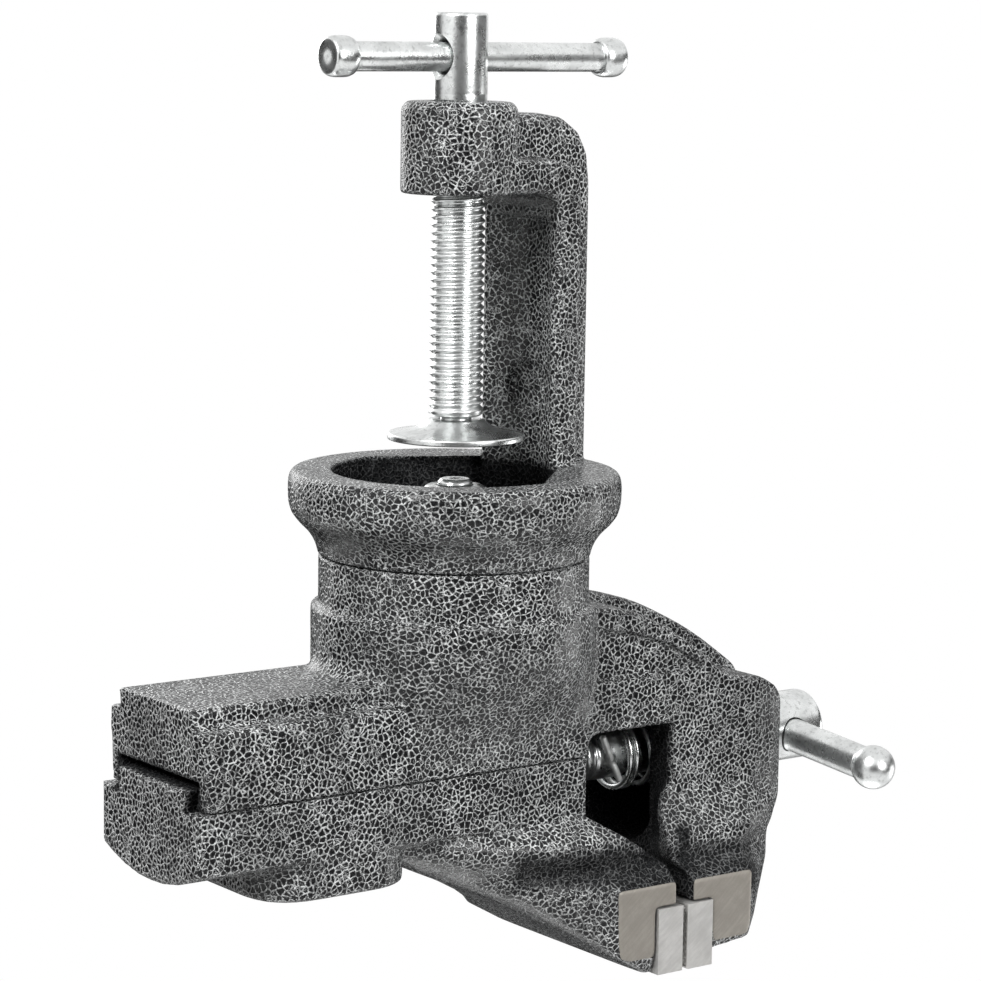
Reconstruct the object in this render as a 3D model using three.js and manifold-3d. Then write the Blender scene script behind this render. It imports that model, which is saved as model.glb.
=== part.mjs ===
// Clamp-on swivel bench vise with 60 mm jaws, in millimetres.
// Z is up and zero is the face that rests on the bench, on the swivel axis.
// X runs along the main screw towards its handle, and the part is symmetric about Y zero.

import * as THREE from 'three';
import { mergeVertices } from 'three/addons/utils/BufferGeometryUtils.js';
import Module from 'manifold-3d';

const wasm = await Module();
wasm.setup();

// Fits and facets
const gap = 0.3;
const overrun = 1;
const roundSteps = 48;
const pinSteps = 20;

// Clamp base: cup
const flangeRadius = 37.6;
const skirtRadius = 30.7;
const flangeShares = [
  [0, 0.81], [0.03, 0.9], [0.09, 0.97], [0.2, 1], [0.38, 0.98], [0.5, 0.88], [0.6, 0.68],
  [0.71, 0.37], [0.8, 0.19], [0.89, 0.08], [1, 0],
];
const baseHeight = 18.85;
const cavityRadius = 27.75;
const cavityDepth = 12;
const cavityFillet = 2.4;
const wallBossRadius = 3.8;
const wallBossReach = 1.4;
const wallBossTurn = -84;

// Clamp base: arm
const armTurn = -8.6;
const armReach = 19.9;
const armPlate = 7.4;
const armHalfWidth = 12.5;
const armTroughDepth = 3;
const armTroughLip = 2.4;
const armFootDepth = 13;
const spineOffset = 10;
const spineHalfWidth = 6;
const spineRound = 2.6;
const innerElbow = 5.7;
const plateElbow = 9.8;
const spineElbow = 16;
const armMarkRadius = 6;
const armMarkDepth = 1.3;
const armMarkDrop = 17;

// Clamp boss, screw, pad and bar
const clampThroat = 61.8;
const clampBossHeight = 20.4;
const clampBossRadius = 13;
const bossChamfer = 1.6;
const clampScrewRadius = 6.1;
const clampPadGap = 6.9;
const padRadius = 15.3;
const padRim = 1.4;
const padHeight = 5.4;
const padConeFoot = 10.3;
const padConeTop = 5.4;
const padBall = 3.6;
const padNeck = 2.4;
const padNeckLength = 2.2;
const clampBarClear = 9.7;
const clampBarDrop = clampThroat + clampBossHeight + clampBarClear;
const clampHubReach = 9.7;
const clampHubEnd = clampBarDrop + clampHubReach;
const clampBarRadius = 3.25;
const clampBarSpan = 73;
const clampBarShift = 4.6;
const clampKnobRadius = 4.5;
const clampKnobLength = 6.4;

// Tower and swivel pivot
const towerRadius = 30.6;
const towerStep = 30.4;
const towerBossRadius = 32.3;
const towerBlendStart = 36;
const towerBlendEnd = 63;
const towerFillet = 4;
const boltRadius = 4;
const boltHeadFlats = 13;
const boltHeadHeight = 5.3;
const boltHeadDrop = 2.4;
const boltTip = 2;
const nutHeight = 6.3;
const pivotWasherRadius = 10;
const pivotWasherThick = 1.6;

// Vise body: channel arm
const armEndX = -76.9;
const endDraft = 1.2;
const bodyHalfWidth = 20;
const ledgeHalfWidth = 19.4;
const keelHalfWidth = 15.2;
const keelBottom = 43.8;
const ledgeHeight = 48.2;
const bodyTop = 65.2;
const channelFloor = 59.1;
const channelHalfWidth = 16.9;
const channelLip = 14.8;
const edgeRound = 1.2;
const windowStart = 24;
const windowSill = 1.3;
const windowCorner = 3.4;
const windowEnd = 48.8;

// Vise body: front casting
const frontFaceX = 88;
const frontCorner = 13.5;
const hollowHalfWidth = 11.4;
const hollowEnd = 74;
const hollowTop = 91;
const hollowRound = 9;
const ribHalfWidth = 4.6;
const panelDepth = 1.5;

// Slide
const slideEndX = -79.4;
const slideFrontX = 23.7;
const slideBottom = 65.5;
const slideEdge = 78.8;
const slideCrown = 83.4;
const tongueDrop = 4.6;
const tongueFit = 1.9;
const tongueRelief = 0.6;
const anvilHeight = 88;
const anvilCentreX = -41.4;
const anvilLength = 39.4;
const anvilHalfWidth = 19.8;
const anvilCorner = 13;
const anvilEdge = 1;

// Jaws and their plates
const jawHalfWidth = 30;
const jawMidX = 45.25;
const plateGap = 1.3;
const plateThick = 7.4;
const plateProud = 1.8;
const plateBottom = 100.6;
const plateTop = 116;
const plateOverhang = 0.4;
const plateHalfWidth = jawHalfWidth + plateOverhang;
const frontJawTop = 112.7;
const frontJawSlope = 6.6;
const rearJawShoulder = 110.8;
const rearJawTop = 115.7;
const plateScrewInset = 11;
const plateScrewSpread = jawHalfWidth - plateScrewInset;
const plateScrewRadius = 2.5;
const plateScrewHead = 4.8;
const plateScrewLength = 14;

// Main screw line
const screwHeight = 70.5;
const screwRadius = 6;
const screwTipX = -45;
const hubRadius = 8.4;
const hubLength = 18.2;
const screwTurn = 5;
const mainBarX = 97;
const mainBarRadius = 4;
const mainBarSpan = 75;
const mainKnobRadius = 5.2;
const spigotRadius = 2.4;
const spigotLength = 3;
const nutLength = 14;
const nutWall = 1.7;
const nutHalfWidth = 9.6;
const nutFootHalfWidth = 5.6;
const nutShelf = 1.5;
const nutTop = 78.6;

// Thrust spring and split pin
const washerRadius = 9.9;
const washerThick = 1.5;
const springWire = 0.75;
const springRadius = 8.4;
const springTurns = 7;
const springLength = 27.2;
const springCloseShare = 2.6;
const springCloseTurns = 1.25;
const springStartTurn = -60;
const springSteps = 8;
const springSides = 5;
const splitPinWire = 0.8;
const splitPinReach = 7.1;
const splitPinOffset = 3.4;
const splitPinTilt = 28;

const rad = THREE.MathUtils.degToRad;
const mix = THREE.MathUtils.lerp;

// Closed mesh to solid and back
function solid(geometry) {
  const plain = geometry.index ? geometry.toNonIndexed() : geometry.clone();
  plain.deleteAttribute('normal');
  plain.deleteAttribute('uv');
  const merged = mergeVertices(plain, 1e-4);
  return new wasm.Manifold(new wasm.Mesh({
    numProp: 3,
    vertProperties: new Float32Array(merged.attributes.position.array),
    triVerts: new Uint32Array(merged.index.array),
  }));
}

function surface(body) {
  const data = body.getMesh();
  const geometry = new THREE.BufferGeometry();
  geometry.setAttribute('position', new THREE.BufferAttribute(new Float32Array(data.vertProperties), 3));
  geometry.setIndex(new THREE.BufferAttribute(new Uint32Array(data.triVerts), 1));
  geometry.computeVertexNormals();
  return geometry;
}

const join = (first, ...rest) => rest.reduce((body, next) => body.add(next), first);
const cut = (first, ...rest) => rest.reduce((body, next) => body.subtract(next), first);

// Outline through corner points, each with its own rounding
const cornerShare = 0.48;
function outline(points) {
  const shape = new THREE.Shape();
  const count = points.length;
  points.forEach(([x, y, round = 0], i) => {
    const corner = new THREE.Vector2(x, y);
    const before = new THREE.Vector2(...points[(i + count - 1) % count]);
    const after = new THREE.Vector2(...points[(i + 1) % count]);
    const room = Math.min(corner.distanceTo(before), corner.distanceTo(after)) * cornerShare;
    const enter = corner.clone().add(before.sub(corner).setLength(Math.min(round, room)));
    const leave = corner.clone().add(after.sub(corner).setLength(Math.min(round, room)));
    if (i === 0) shape.moveTo(enter.x, enter.y);
    else shape.lineTo(enter.x, enter.y);
    if (round > 0) shape.quadraticCurveTo(x, y, leave.x, leave.y);
  });
  shape.closePath();
  return shape;
}

const mirrored = half => [...half, ...half.map(([x, y, r]) => [-x, y, r]).reverse()];

// Outline pushed along an axis, from one place to another, with rounded rims
function pushed(shape, from, to, bevel, steps) {
  const options = { depth: to - from - 2 * bevel, curveSegments: steps, bevelEnabled: bevel > 0 };
  Object.assign(options, { bevelThickness: bevel, bevelSize: bevel, bevelOffset: -bevel, bevelSegments: 2 });
  return new THREE.ExtrudeGeometry(shape, options).translate(0, 0, from + bevel);
}

const alongZ = (shape, from, to, bevel = 0, steps = 4) => solid(pushed(shape, from, to, bevel, steps));
const alongX = (shape, from, to, bevel = 0, steps = 4) =>
  solid(pushed(shape, from, to, bevel, steps).rotateX(Math.PI / 2).rotateZ(Math.PI / 2));
const alongY = (shape, from, to, bevel = 0, steps = 4) =>
  solid(pushed(shape, -to, -from, bevel, steps).rotateX(Math.PI / 2));

// Profile of radius and height turned about Z
function turned(profile, steps = roundSteps) {
  const points = profile.map(([r, z]) => new THREE.Vector2(r, z));
  if (THREE.ShapeUtils.isClockWise(points)) points.reverse();
  const closed = profile[0][0] === 0 && profile[profile.length - 1][0] === 0;
  if (!closed) points.push(points[0].clone());
  return new THREE.LatheGeometry(points, steps).rotateX(Math.PI / 2);
}

const rod = (radius, from, to, steps = roundSteps) =>
  turned([[0, from], [radius, from], [radius, to], [0, to]], steps);
const rodX = (radius, from, to, height, steps = roundSteps) =>
  solid(rod(radius, from, to, steps).rotateY(Math.PI / 2).translate(0, 0, height));
const rodZ = (radius, from, to, steps = roundSteps) => solid(rod(radius, from, to, steps));

function block(x0, x1, y0, y1, z0, z1) {
  const box = new THREE.BoxGeometry(x1 - x0, y1 - y0, z1 - z0);
  return solid(box.translate((x0 + x1) / 2, (y0 + y1) / 2, (z0 + z1) / 2));
}

// Points of an arc about a centre, for a turned profile
function arc(cx, cy, radius, start, end, steps) {
  const at = i => rad(mix(start, end, i / steps));
  return Array.from({ length: steps + 1 }, (_, i) =>
    [cx + radius * Math.cos(at(i)), cy + radius * Math.sin(at(i))]);
}

// Skin through level rings with equal counts of points, closed at both ends
function loft(rings) {
  const count = rings[0].length;
  const places = rings.flat().flat();
  const faces = [];
  for (let level = 0; level + 1 < rings.length; level += 1) {
    for (let i = 0; i < count; i += 1) {
      const a = level * count + i;
      const b = level * count + (i + 1) % count;
      faces.push(a, b, b + count, a, b + count, a + count);
    }
  }
  const cap = THREE.ShapeUtils.triangulateShape(rings[0].map(([x, y]) => new THREE.Vector2(x, y)), []);
  const last = (rings.length - 1) * count;
  const lid = rings[rings.length - 1].map(([x, y]) => new THREE.Vector2(x, y));
  cap.forEach(([a, b, c]) => faces.push(c, b, a));
  THREE.ShapeUtils.triangulateShape(lid, []).forEach(([a, b, c]) => faces.push(last + a, last + b, last + c));
  const geometry = new THREE.BufferGeometry();
  geometry.setAttribute('position', new THREE.Float32BufferAttribute(places, 3));
  geometry.setIndex(faces);
  return solid(geometry);
}

// Rows of shares with smooth rows between them
const spline = (a, b, c, d, t) =>
  (2 * b + (c - a) * t + (2 * a - 5 * b + 4 * c - d) * t ** 2 + (3 * b - a - 3 * c + d) * t ** 3) / 2;
function smoothed(rows, steps) {
  const row = i => rows[Math.min(Math.max(i, 0), rows.length - 1)];
  const between = (i, k) => rows[i].map((_, column) =>
    spline(...[-1, 0, 1, 2].map(offset => row(i + offset)[column]), k / steps));
  const dense = rows.slice(0, -1).flatMap((_, i) => Array.from({ length: steps }, (__, k) => between(i, k)));
  return [...dense, rows[rows.length - 1]];
}

// Level ring of a jaw: straight face and end faces, then a narrowing tail with round corners
const tailRoundShare = 0.45;
const tailSteps = 4;
function jawRing({ face, inner = face, end, tail, half, tailHalf, z }) {
  const corner = new THREE.Vector2(tail, tailHalf);
  const enter = corner.clone().lerp(new THREE.Vector2(end, half), tailRoundShare);
  const leave = corner.clone().lerp(new THREE.Vector2(tail, 0), tailRoundShare);
  const bend = new THREE.QuadraticBezierCurve(enter, corner, leave).getPoints(tailSteps);
  const side = [[inner, hollowHalfWidth + edgeRound], [face, half], [end, half], ...bend.map(p => [p.x, p.y])];
  const ring = [...side, ...side.map(([x, y]) => [x, -y]).reverse()];
  const forward = ring.map(([x, y]) => [x, y, z]);
  return tail > face ? forward.reverse() : forward;
}

// Materials
const enamel = new THREE.MeshStandardMaterial({ color: 0x53565a, roughness: 0.42, metalness: 0.35 });
const zinc = new THREE.MeshStandardMaterial({ color: 0xc6ccd2, roughness: 0.25, metalness: 1 });
const ground = new THREE.MeshStandardMaterial({ color: 0xb9b5ae, roughness: 0.4, metalness: 1 });
const dark = new THREE.MeshStandardMaterial({ color: 0x4b4a48, roughness: 0.55, metalness: 0.8 });

function piece(name, geometry, material) {
  const mesh = new THREE.Mesh(geometry, material);
  mesh.name = name;
  return mesh;
}

const hexagon = flats => new THREE.Shape(
  arc(0, 0, flats / Math.sqrt(3), 0, 300, 5).map(([x, y]) => new THREE.Vector2(x, y)));

// Clamp base, with its arm along X
function clampBase() {
  const cup = solid(turned([
    [cavityRadius, 0],
    ...flangeShares.map(([z, r]) => [mix(skirtRadius, flangeRadius, r), z * baseHeight]),
    [boltRadius + gap, baseHeight], [boltRadius + gap, cavityDepth],
    ...arc(cavityRadius - cavityFillet, cavityDepth - cavityFillet, cavityFillet, 90, 0, 3),
  ]));

  const outer = armReach + armPlate;
  const floor = clampThroat + armPlate + gap;
  const root = cavityRadius + overrun;
  const plate = alongY(outline([
    [root, armFootDepth], [root, 0], [outer, 0], [outer, -floor, plateElbow], [0, -floor],
    [0, -clampThroat], [armReach, -clampThroat, innerElbow], [armReach, armFootDepth],
  ]), -armHalfWidth, armHalfWidth, edgeRound);
  const crest = outer + spineOffset;
  const spine = alongY(outline([
    [crest, cavityDepth / 2], [crest, -floor - spineOffset, spineElbow], [0, -floor - spineOffset],
    [0, -floor + armPlate / 2], [outer - armPlate / 2, -floor + armPlate / 2, innerElbow],
    [outer - armPlate / 2, cavityDepth / 2],
  ]), -spineHalfWidth, spineHalfWidth, spineRound);
  const halfTrough = armHalfWidth - armTroughLip;
  const troughRadius = (halfTrough ** 2 + armTroughDepth ** 2) / (2 * armTroughDepth);
  const troughCentre = armReach + armTroughDepth - troughRadius;
  const trough = solid(rod(troughRadius, -clampThroat + innerElbow, cavityDepth).translate(troughCentre, 0, 0));
  const mark = solid(rod(armMarkRadius, troughCentre, armReach + armTroughDepth + armMarkDepth, pinSteps)
    .rotateY(Math.PI / 2).translate(0, 0, -armMarkDrop));

  // Walls that lead the round cavity into the arm's trough
  const mouth = [[0, cavityRadius], [armReach, armHalfWidth], [outer, armHalfWidth], [outer / 2, cavityRadius]];
  const cheeks = [1, -1].map(side => alongZ(outline(mouth.map(([x, y]) => [x, y * side])), 0, armFootDepth));

  const bossEnd = -clampThroat - clampBossHeight;
  const bossRim = clampBossRadius - bossChamfer;
  const boss = solid(turned([
    [0, -clampThroat], [clampBossRadius - gap, -clampThroat], [clampBossRadius, -clampThroat - gap],
    [clampBossRadius, bossEnd + bossChamfer], [bossRim + bossChamfer / 3, bossEnd + gap], [bossRim, bossEnd],
    [0, bossEnd],
  ]));
  const wallBoss = solid(rod(wallBossRadius, cavityRadius - wallBossReach, cavityRadius + overrun, pinSteps)
    .rotateY(Math.PI / 2).translate(0, 0, wallBossRadius + gap).rotateZ(rad(wallBossTurn)));
  const bore = rodZ(clampScrewRadius + gap, bossEnd - overrun, -clampThroat + overrun);
  return surface(cut(join(cup, cut(plate, trough, mark), spine, ...cheeks, boss, wallBoss), bore));
}

// Clamp screw: hub with cross hole, thread, neck and ball
function clampScrew() {
  const ballCentre = -clampPadGap - gap - padBall;
  const shoulder = -clampPadGap - padHeight - padNeckLength;
  const chamfer = clampScrewRadius / 6;
  const neckAngle = THREE.MathUtils.radToDeg(Math.acos(padNeck / padBall));
  const shank = solid(turned([
    [0, -clampHubEnd], [clampScrewRadius - chamfer, -clampHubEnd], [clampScrewRadius, -clampHubEnd + chamfer],
    [clampScrewRadius, shoulder - chamfer], [clampScrewRadius - chamfer, shoulder], [padNeck, shoulder],
    ...arc(0, ballCentre, padBall, -neckAngle, 60, 5), [0, ballCentre + padBall * Math.sin(rad(60))],
  ], roundSteps / 2));
  const hole = solid(rod(clampBarRadius + gap, -hubRadius, hubRadius, pinSteps)
    .rotateY(Math.PI / 2).translate(0, 0, -clampBarDrop));
  return surface(cut(shank, hole));
}

function clampPad() {
  const top = -clampPadGap;
  const socket = padBall + gap;
  const centre = top - gap - padBall;
  const mouthAngle = THREE.MathUtils.radToDeg(Math.acos((padNeck + gap) / socket));
  return turned([
    [socket, top], [padRadius - padRim / 3, top], [padRadius, top - padRim / 3],
    [padRadius, top - padRim], [padConeFoot, top - padRim * 1.5],
    [mix(padConeFoot, padConeTop, 0.6), top - padHeight * 0.66], [padConeTop, top - padHeight],
    [padNeck + gap, top - padHeight], ...arc(0, centre, socket, -mouthAngle, 0, 4),
  ]);
}

// Bar with a spigot at each end, along X about zero
function bar(radius, span, knobLength) {
  const end = span / 2 - knobLength / 2;
  return turned([
    [0, -end - spigotLength], [spigotRadius, -end - spigotLength], [spigotRadius, -end], [radius, -end],
    [radius, end], [spigotRadius, end], [spigotRadius, end + spigotLength], [0, end + spigotLength],
  ], pinSteps).rotateY(Math.PI / 2);
}

// Knob with a blind socket, its seat at zero and its body towards X
function flatKnob(radius, length) {
  const rim = radius / 3;
  const depth = spigotLength + 2 * gap;
  return turned([
    [0, length], [radius - rim, length], [radius - rim / 3, length - rim / 3], [radius, length - rim],
    [radius, rim * 1.4], [radius - rim / 2, gap], [spigotRadius + gap, gap],
    [spigotRadius + gap, depth], [0, depth],
  ], pinSteps).rotateY(Math.PI / 2);
}

function ballKnob(radius, seat) {
  const start = THREE.MathUtils.radToDeg(Math.asin(seat / radius)) - 90;
  const centre = Math.sqrt(radius ** 2 - seat ** 2) + gap;
  const depth = spigotLength + 2 * gap;
  return turned([
    ...arc(0, centre, radius, start, 84, 9), [0, centre + radius], [0, depth],
    [spigotRadius + gap, depth], [spigotRadius + gap, gap],
  ], pinSteps).rotateY(Math.PI / 2);
}

// Vise body: tower, channel arm and hollow front casting with the fixed jaw
const frontJawShares = [
  [0.000, 0.66, 0.66, 0.995, 0.40, 0.030, 0.037],
  [0.087, 0.69, 0.64, 0.995, 0.54, -0.060, 0.037],
  [0.206, 0.80, 0.56, 0.985, 0.68, -0.120, 0.037],
  [0.297, 0.87, 0.50, 0.975, 0.60, -0.130, 0.037],
  [0.361, 0.88, 0.46, 0.955, 0.60, -0.120, 0.030],
  [0.426, 0.86, 0.43, 0.920, 0.62, -0.090, 0.010],
  [0.504, 0.94, 0.43, 0.885, 0.60, -0.030, 0.000],
  [0.562, 1.00, 0.43, 0.850, 0.60, 0.000, 0.000],
  [0.756, 1.00, 0.43, 0.760, 0.64, 0.000, 0.000],
  [0.882, 1.00, 0.43, 0.660, 0.72, 0.000, 0.000],
  [1.000, 0.98, 0.42, 0.480, 0.86, 0.000, 0.000],
];
const frontJawRoot = 74;
const jawRingSteps = 2;

function frontJaw() {
  const face = jawMidX + plateGap / 2 + plateProud;
  const reach = frontFaceX - face;
  const rows = smoothed(frontJawShares, jawRingSteps);
  return loft(rows.map(([height, half, end, tail, tailHalf, lean, recess]) => jawRing({
    face: face + lean * reach, inner: face + recess * reach, end: face + end * reach, tail: face + tail * reach,
    half: Math.min(1, half) * jawHalfWidth, tailHalf: tailHalf * half * jawHalfWidth,
    z: mix(frontJawRoot, frontJawTop, height),
  })));
}

const shellShares = [
  [0.22, 0.000, 0], [0.40, 0.028, 4], [0.52, 0.100, 5], [0.64, 0.205, 5], [0.75, 0.330, 5],
  [0.86, 0.340, 3], [0.955, 0.420, 4], [1.00, 0.560, 6], [1.00, 0.740, 4], [0.96, 0.840, 3],
];
const ribShares = [[0.28, -0.03, 0], [0.54, 0.04, 8], [0.76, 0.19, 8], [0.93, 0.36, 3], [0.93, 0.6, 0]];
const panelShares = [
  [0.30, 0.285, 2], [0.30, 0.090, 2], [0.42, 0.120, 3], [0.54, 0.175, 3], [0.67, 0.285, 2],
];

// Upper tower: round below, flattened to the width of the channel arm above
const sideSteps = 12;
const endSteps = 8;
const towerBlendSteps = 6;
function towerBlend() {
  const edge = THREE.MathUtils.radToDeg(Math.asin(bodyHalfWidth / towerBossRadius));
  const turns = [
    ...arc(0, 0, towerBossRadius, -edge, edge, endSteps).slice(0, -1),
    ...arc(0, 0, towerBossRadius, edge, 180 - edge, sideSteps).slice(0, -1),
    ...arc(0, 0, towerBossRadius, 180 - edge, 180 + edge, endSteps).slice(0, -1),
    ...arc(0, 0, towerBossRadius, 180 + edge, 360 - edge, sideSteps).slice(0, -1),
  ];
  const flare = z => {
    const share = Math.max(0, z - keelBottom + towerFillet) / towerFillet;
    return share > 1 ? 0 : towerFillet * (1 - Math.sqrt(1 - share ** 2));
  };
  const levels = Array.from({ length: towerBlendSteps + 1 }, (_, i) =>
    mix(towerBlendStart - overrun, towerBlendEnd, i / towerBlendSteps));
  const fillets = [1, 0.6, 0.3, 0.1, 0].map(share => keelBottom - towerFillet * share);
  const heights = [...levels, ...fillets, keelBottom + gap].sort((a, b) => a - b);
  return loft(heights.map(z => {
    const bulge = 1 - THREE.MathUtils.smoothstep(z, towerBlendStart, towerBlendEnd);
    return turns.map(([x, y]) => {
      const beyond = Math.max(0, Math.abs(y) - bodyHalfWidth);
      const inner = THREE.MathUtils.smoothstep(keelHalfWidth - Math.abs(y), 0, keelHalfWidth / 2);
      const lean = x < 0 ? flare(z) * inner : 0;
      return [x - lean, Math.sign(y) * (Math.abs(y) - beyond * (1 - bulge)), z];
    });
  }));
}

function viseBody() {
  const width = bodyHalfWidth;
  const arm = alongX(outline(mirrored([
    [keelHalfWidth, keelBottom, edgeRound], [keelHalfWidth, ledgeHeight, edgeRound / 2],
    [ledgeHalfWidth, ledgeHeight, edgeRound], [width, bodyTop], [channelLip, bodyTop],
    [channelHalfWidth, channelFloor],
  ])), armEndX - endDraft, windowEnd + overrun);
  const draft = alongY(outline([
    [armEndX - endDraft * 2, keelBottom - overrun], [armEndX - endDraft, keelBottom - overrun],
    [armEndX, bodyTop], [armEndX, bodyTop + overrun], [armEndX - endDraft * 2, bodyTop + overrun],
  ]), -width - overrun, width + overrun);

  const post = solid(turned([
    [0, baseHeight + gap], [towerRadius, baseHeight + gap], [towerRadius, towerStep],
    [towerBossRadius - gap, towerStep], [towerBossRadius, towerStep + gap],
    [towerBossRadius, towerBlendStart], [0, towerBlendStart],
  ]));
  const channel = alongX(outline(mirrored([
    [channelLip, bodyTop], [channelHalfWidth, channelFloor],
  ])), armEndX - endDraft * 2, windowStart + overrun);

  const low = towerStep;
  const high = plateBottom - frontCorner / 2;
  const jamb = windowEnd - 2 * edgeRound;
  const at = ([x, z, round]) => [x * frontFaceX, mix(low, high, z), round];
  const shell = alongY(outline([...shellShares.map(at), [windowEnd, mix(low, high, 0.84)],
    [windowEnd, frontJawRoot], [jamb, frontJawRoot - gap], [jamb, channelFloor],
    [shellShares[0][0] * frontFaceX, channelFloor]]), -width, width, edgeRound)
    .intersect(alongZ(outline([
      [0, -width], [frontFaceX, -width, frontCorner], [frontFaceX, width, frontCorner], [0, width],
    ]), low - overrun, high + overrun));
  const rib = alongY(outline([...ribShares.map(at), [ribShares[0][0] * frontFaceX, channelFloor]]),
    -ribHalfWidth, ribHalfWidth, edgeRound);
  const panels = [1, -1].map(side => {
    const faces = [side * (width - panelDepth), side * (width + overrun)].sort((a, b) => a - b);
    return alongY(outline(panelShares.map(at)), ...faces);
  });

  const hollow = alongX(outline(mirrored([
    [hollowHalfWidth, channelFloor], [hollowHalfWidth, hollowTop, hollowRound],
  ])), windowStart, hollowEnd);
  const window = alongY(outline([
    [windowStart, channelFloor + windowSill, windowCorner], [windowEnd, channelFloor + windowSill],
    [windowEnd, frontJawRoot], [windowStart, frontJawRoot],
  ]), -jawHalfWidth, jawHalfWidth).add(
    block(windowStart, windowEnd, -channelLip, channelLip, channelFloor, frontJawRoot));
  const bore = rodX(screwRadius + gap, hollowEnd - overrun, frontFaceX + overrun, screwHeight);
  const boltBore = rodZ(boltRadius + gap, 0, channelFloor, pinSteps);
  const headPocket = alongZ(hexagon(boltHeadFlats + 2 * gap),
    channelFloor - boltHeadDrop - boltHeadHeight - gap, channelFloor + overrun);
  const rebate = block(jawMidX, jawMidX + plateGap / 2 + plateThick + gap, -jawHalfWidth - overrun,
    jawHalfWidth + overrun, plateBottom - gap, plateTop);
  const threads = plateScrewHoles(1);
  const plateBack = jawMidX + plateGap / 2 + plateThick;
  const fall = (frontFaceX - plateBack) * Math.tan(rad(frontJawSlope));
  const slope = alongY(outline([
    [plateBack, frontJawTop], [frontFaceX, frontJawTop - fall], [frontFaceX, frontJawTop + overrun],
    [plateBack, frontJawTop + overrun],
  ]), -jawHalfWidth - overrun, jawHalfWidth + overrun);
  const casting = join(cut(arm, draft), post, towerBlend(), shell, rib, cut(frontJaw(), slope));
  return surface(cut(casting, ...panels, channel, hollow, window, bore, boltBore, headPocket, rebate, ...threads));
}

// Screw places of a jaw plate, on one side of the jaw opening
const plateScrewHeight = mix(plateBottom, plateTop, 0.5);
function plateScrewHoles(side) {
  const start = plateGap / 2;
  const depth = plateScrewLength + 2 * gap;
  return [-1, 1].map(place => solid(rod(plateScrewRadius + gap, start, start + depth, pinSteps)
    .rotateY(side * Math.PI / 2).translate(jawMidX, place * plateScrewSpread, plateScrewHeight)));
}

// Slide: dovetail bar with crowned top, anvil and moving jaw
const rearJawShares = [
  [0.00, 0.66, 0.33, 1.000, 0.92],
  [0.07, 0.76, 0.38, 0.990, 0.80],
  [0.16, 0.87, 0.36, 0.955, 0.68],
  [0.27, 0.88, 0.31, 0.880, 0.64],
  [0.38, 0.84, 0.26, 0.775, 0.66],
  [0.51, 1.00, 0.235, 0.640, 0.62],
  [0.76, 1.00, 0.235, 0.420, 0.76],
  [1.00, 1.00, 0.232, 0.240, 0.94],
];
const jawTailX = -27;

function slideJaw() {
  const width = bodyHalfWidth;
  const tongueBottom = slideBottom - tongueDrop;
  const flank = (channelHalfWidth - channelLip) / (bodyTop - channelFloor);
  const neck = channelLip - tongueFit;
  const grooveTop = slideBottom + tongueRelief;
  const crownArc = (y) => mix(slideEdge, slideCrown, 1 - (y / width) ** 2);
  const crownShares = [1, 0.8, 0.55, 0.28, 0];
  const bar = alongX(outline([
    ...crownShares.map(share => [share * width, crownArc(share * width), 0]),
    ...crownShares.slice(0, -1).reverse().map(share => [-share * width, crownArc(share * width), 0]),
    [-width, slideBottom], [-channelLip, slideBottom], [-channelLip, grooveTop], [-neck, grooveTop],
    [-neck - flank * (tongueDrop + tongueRelief), tongueBottom],
    [neck + flank * (tongueDrop + tongueRelief), tongueBottom], [neck, grooveTop], [channelLip, grooveTop],
    [channelLip, slideBottom], [width, slideBottom],
  ]), slideEndX, slideFrontX);

  const half = anvilLength / 2;
  const anvil = alongZ(outline([
    [anvilCentreX - half, -anvilHalfWidth, anvilCorner], [anvilCentreX + half, -anvilHalfWidth, anvilCorner],
    [anvilCentreX + half, anvilHalfWidth, anvilCorner], [anvilCentreX - half, anvilHalfWidth, anvilCorner],
  ]), slideEdge - anvilEdge * 2, anvilHeight, anvilEdge, 8);

  const face = jawMidX - plateGap / 2 - plateProud;
  const reach = face - jawTailX;
  const rings = smoothed(rearJawShares, jawRingSteps).map(([height, part, end, tail, tailHalf]) => jawRing({
    face, end: face - end * reach, tail: face - tail * reach, half: Math.min(1, part) * jawHalfWidth,
    tailHalf: tailHalf * part * jawHalfWidth, z: mix(slideEdge, rearJawShoulder, height),
  }));
  const ridge = jawRing({
    face, end: face - plateThick, tail: face - plateThick - overrun, half: jawHalfWidth * 0.95,
    tailHalf: jawHalfWidth * 0.92, z: rearJawTop,
  });
  const jaw = loft([...rings, ridge]);
  const undercut = alongY(outline([
    [slideFrontX, slideBottom], [face + overrun, slideBottom], [face + overrun, mix(slideEdge, plateBottom, 0.62)],
    [slideFrontX, slideEdge + gap],
  ]), -jawHalfWidth - overrun, jawHalfWidth + overrun);

  const bore = rodX(screwRadius + 2 * gap, screwTipX - plateThick, slideFrontX + overrun, screwHeight);
  const pocket = alongX(nutShape(gap), slideFrontX - nutWall - nutLength - 2 * gap, slideFrontX - nutWall);
  const rebate = block(jawMidX - plateGap / 2 - plateThick - gap, jawMidX, -jawHalfWidth - overrun,
    jawHalfWidth + overrun, plateBottom - gap, plateTop + overrun);
  const casting = join(bar, anvil, cut(jaw, undercut));
  return surface(cut(casting, bore, pocket, rebate, ...plateScrewHoles(-1)));
}

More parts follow.
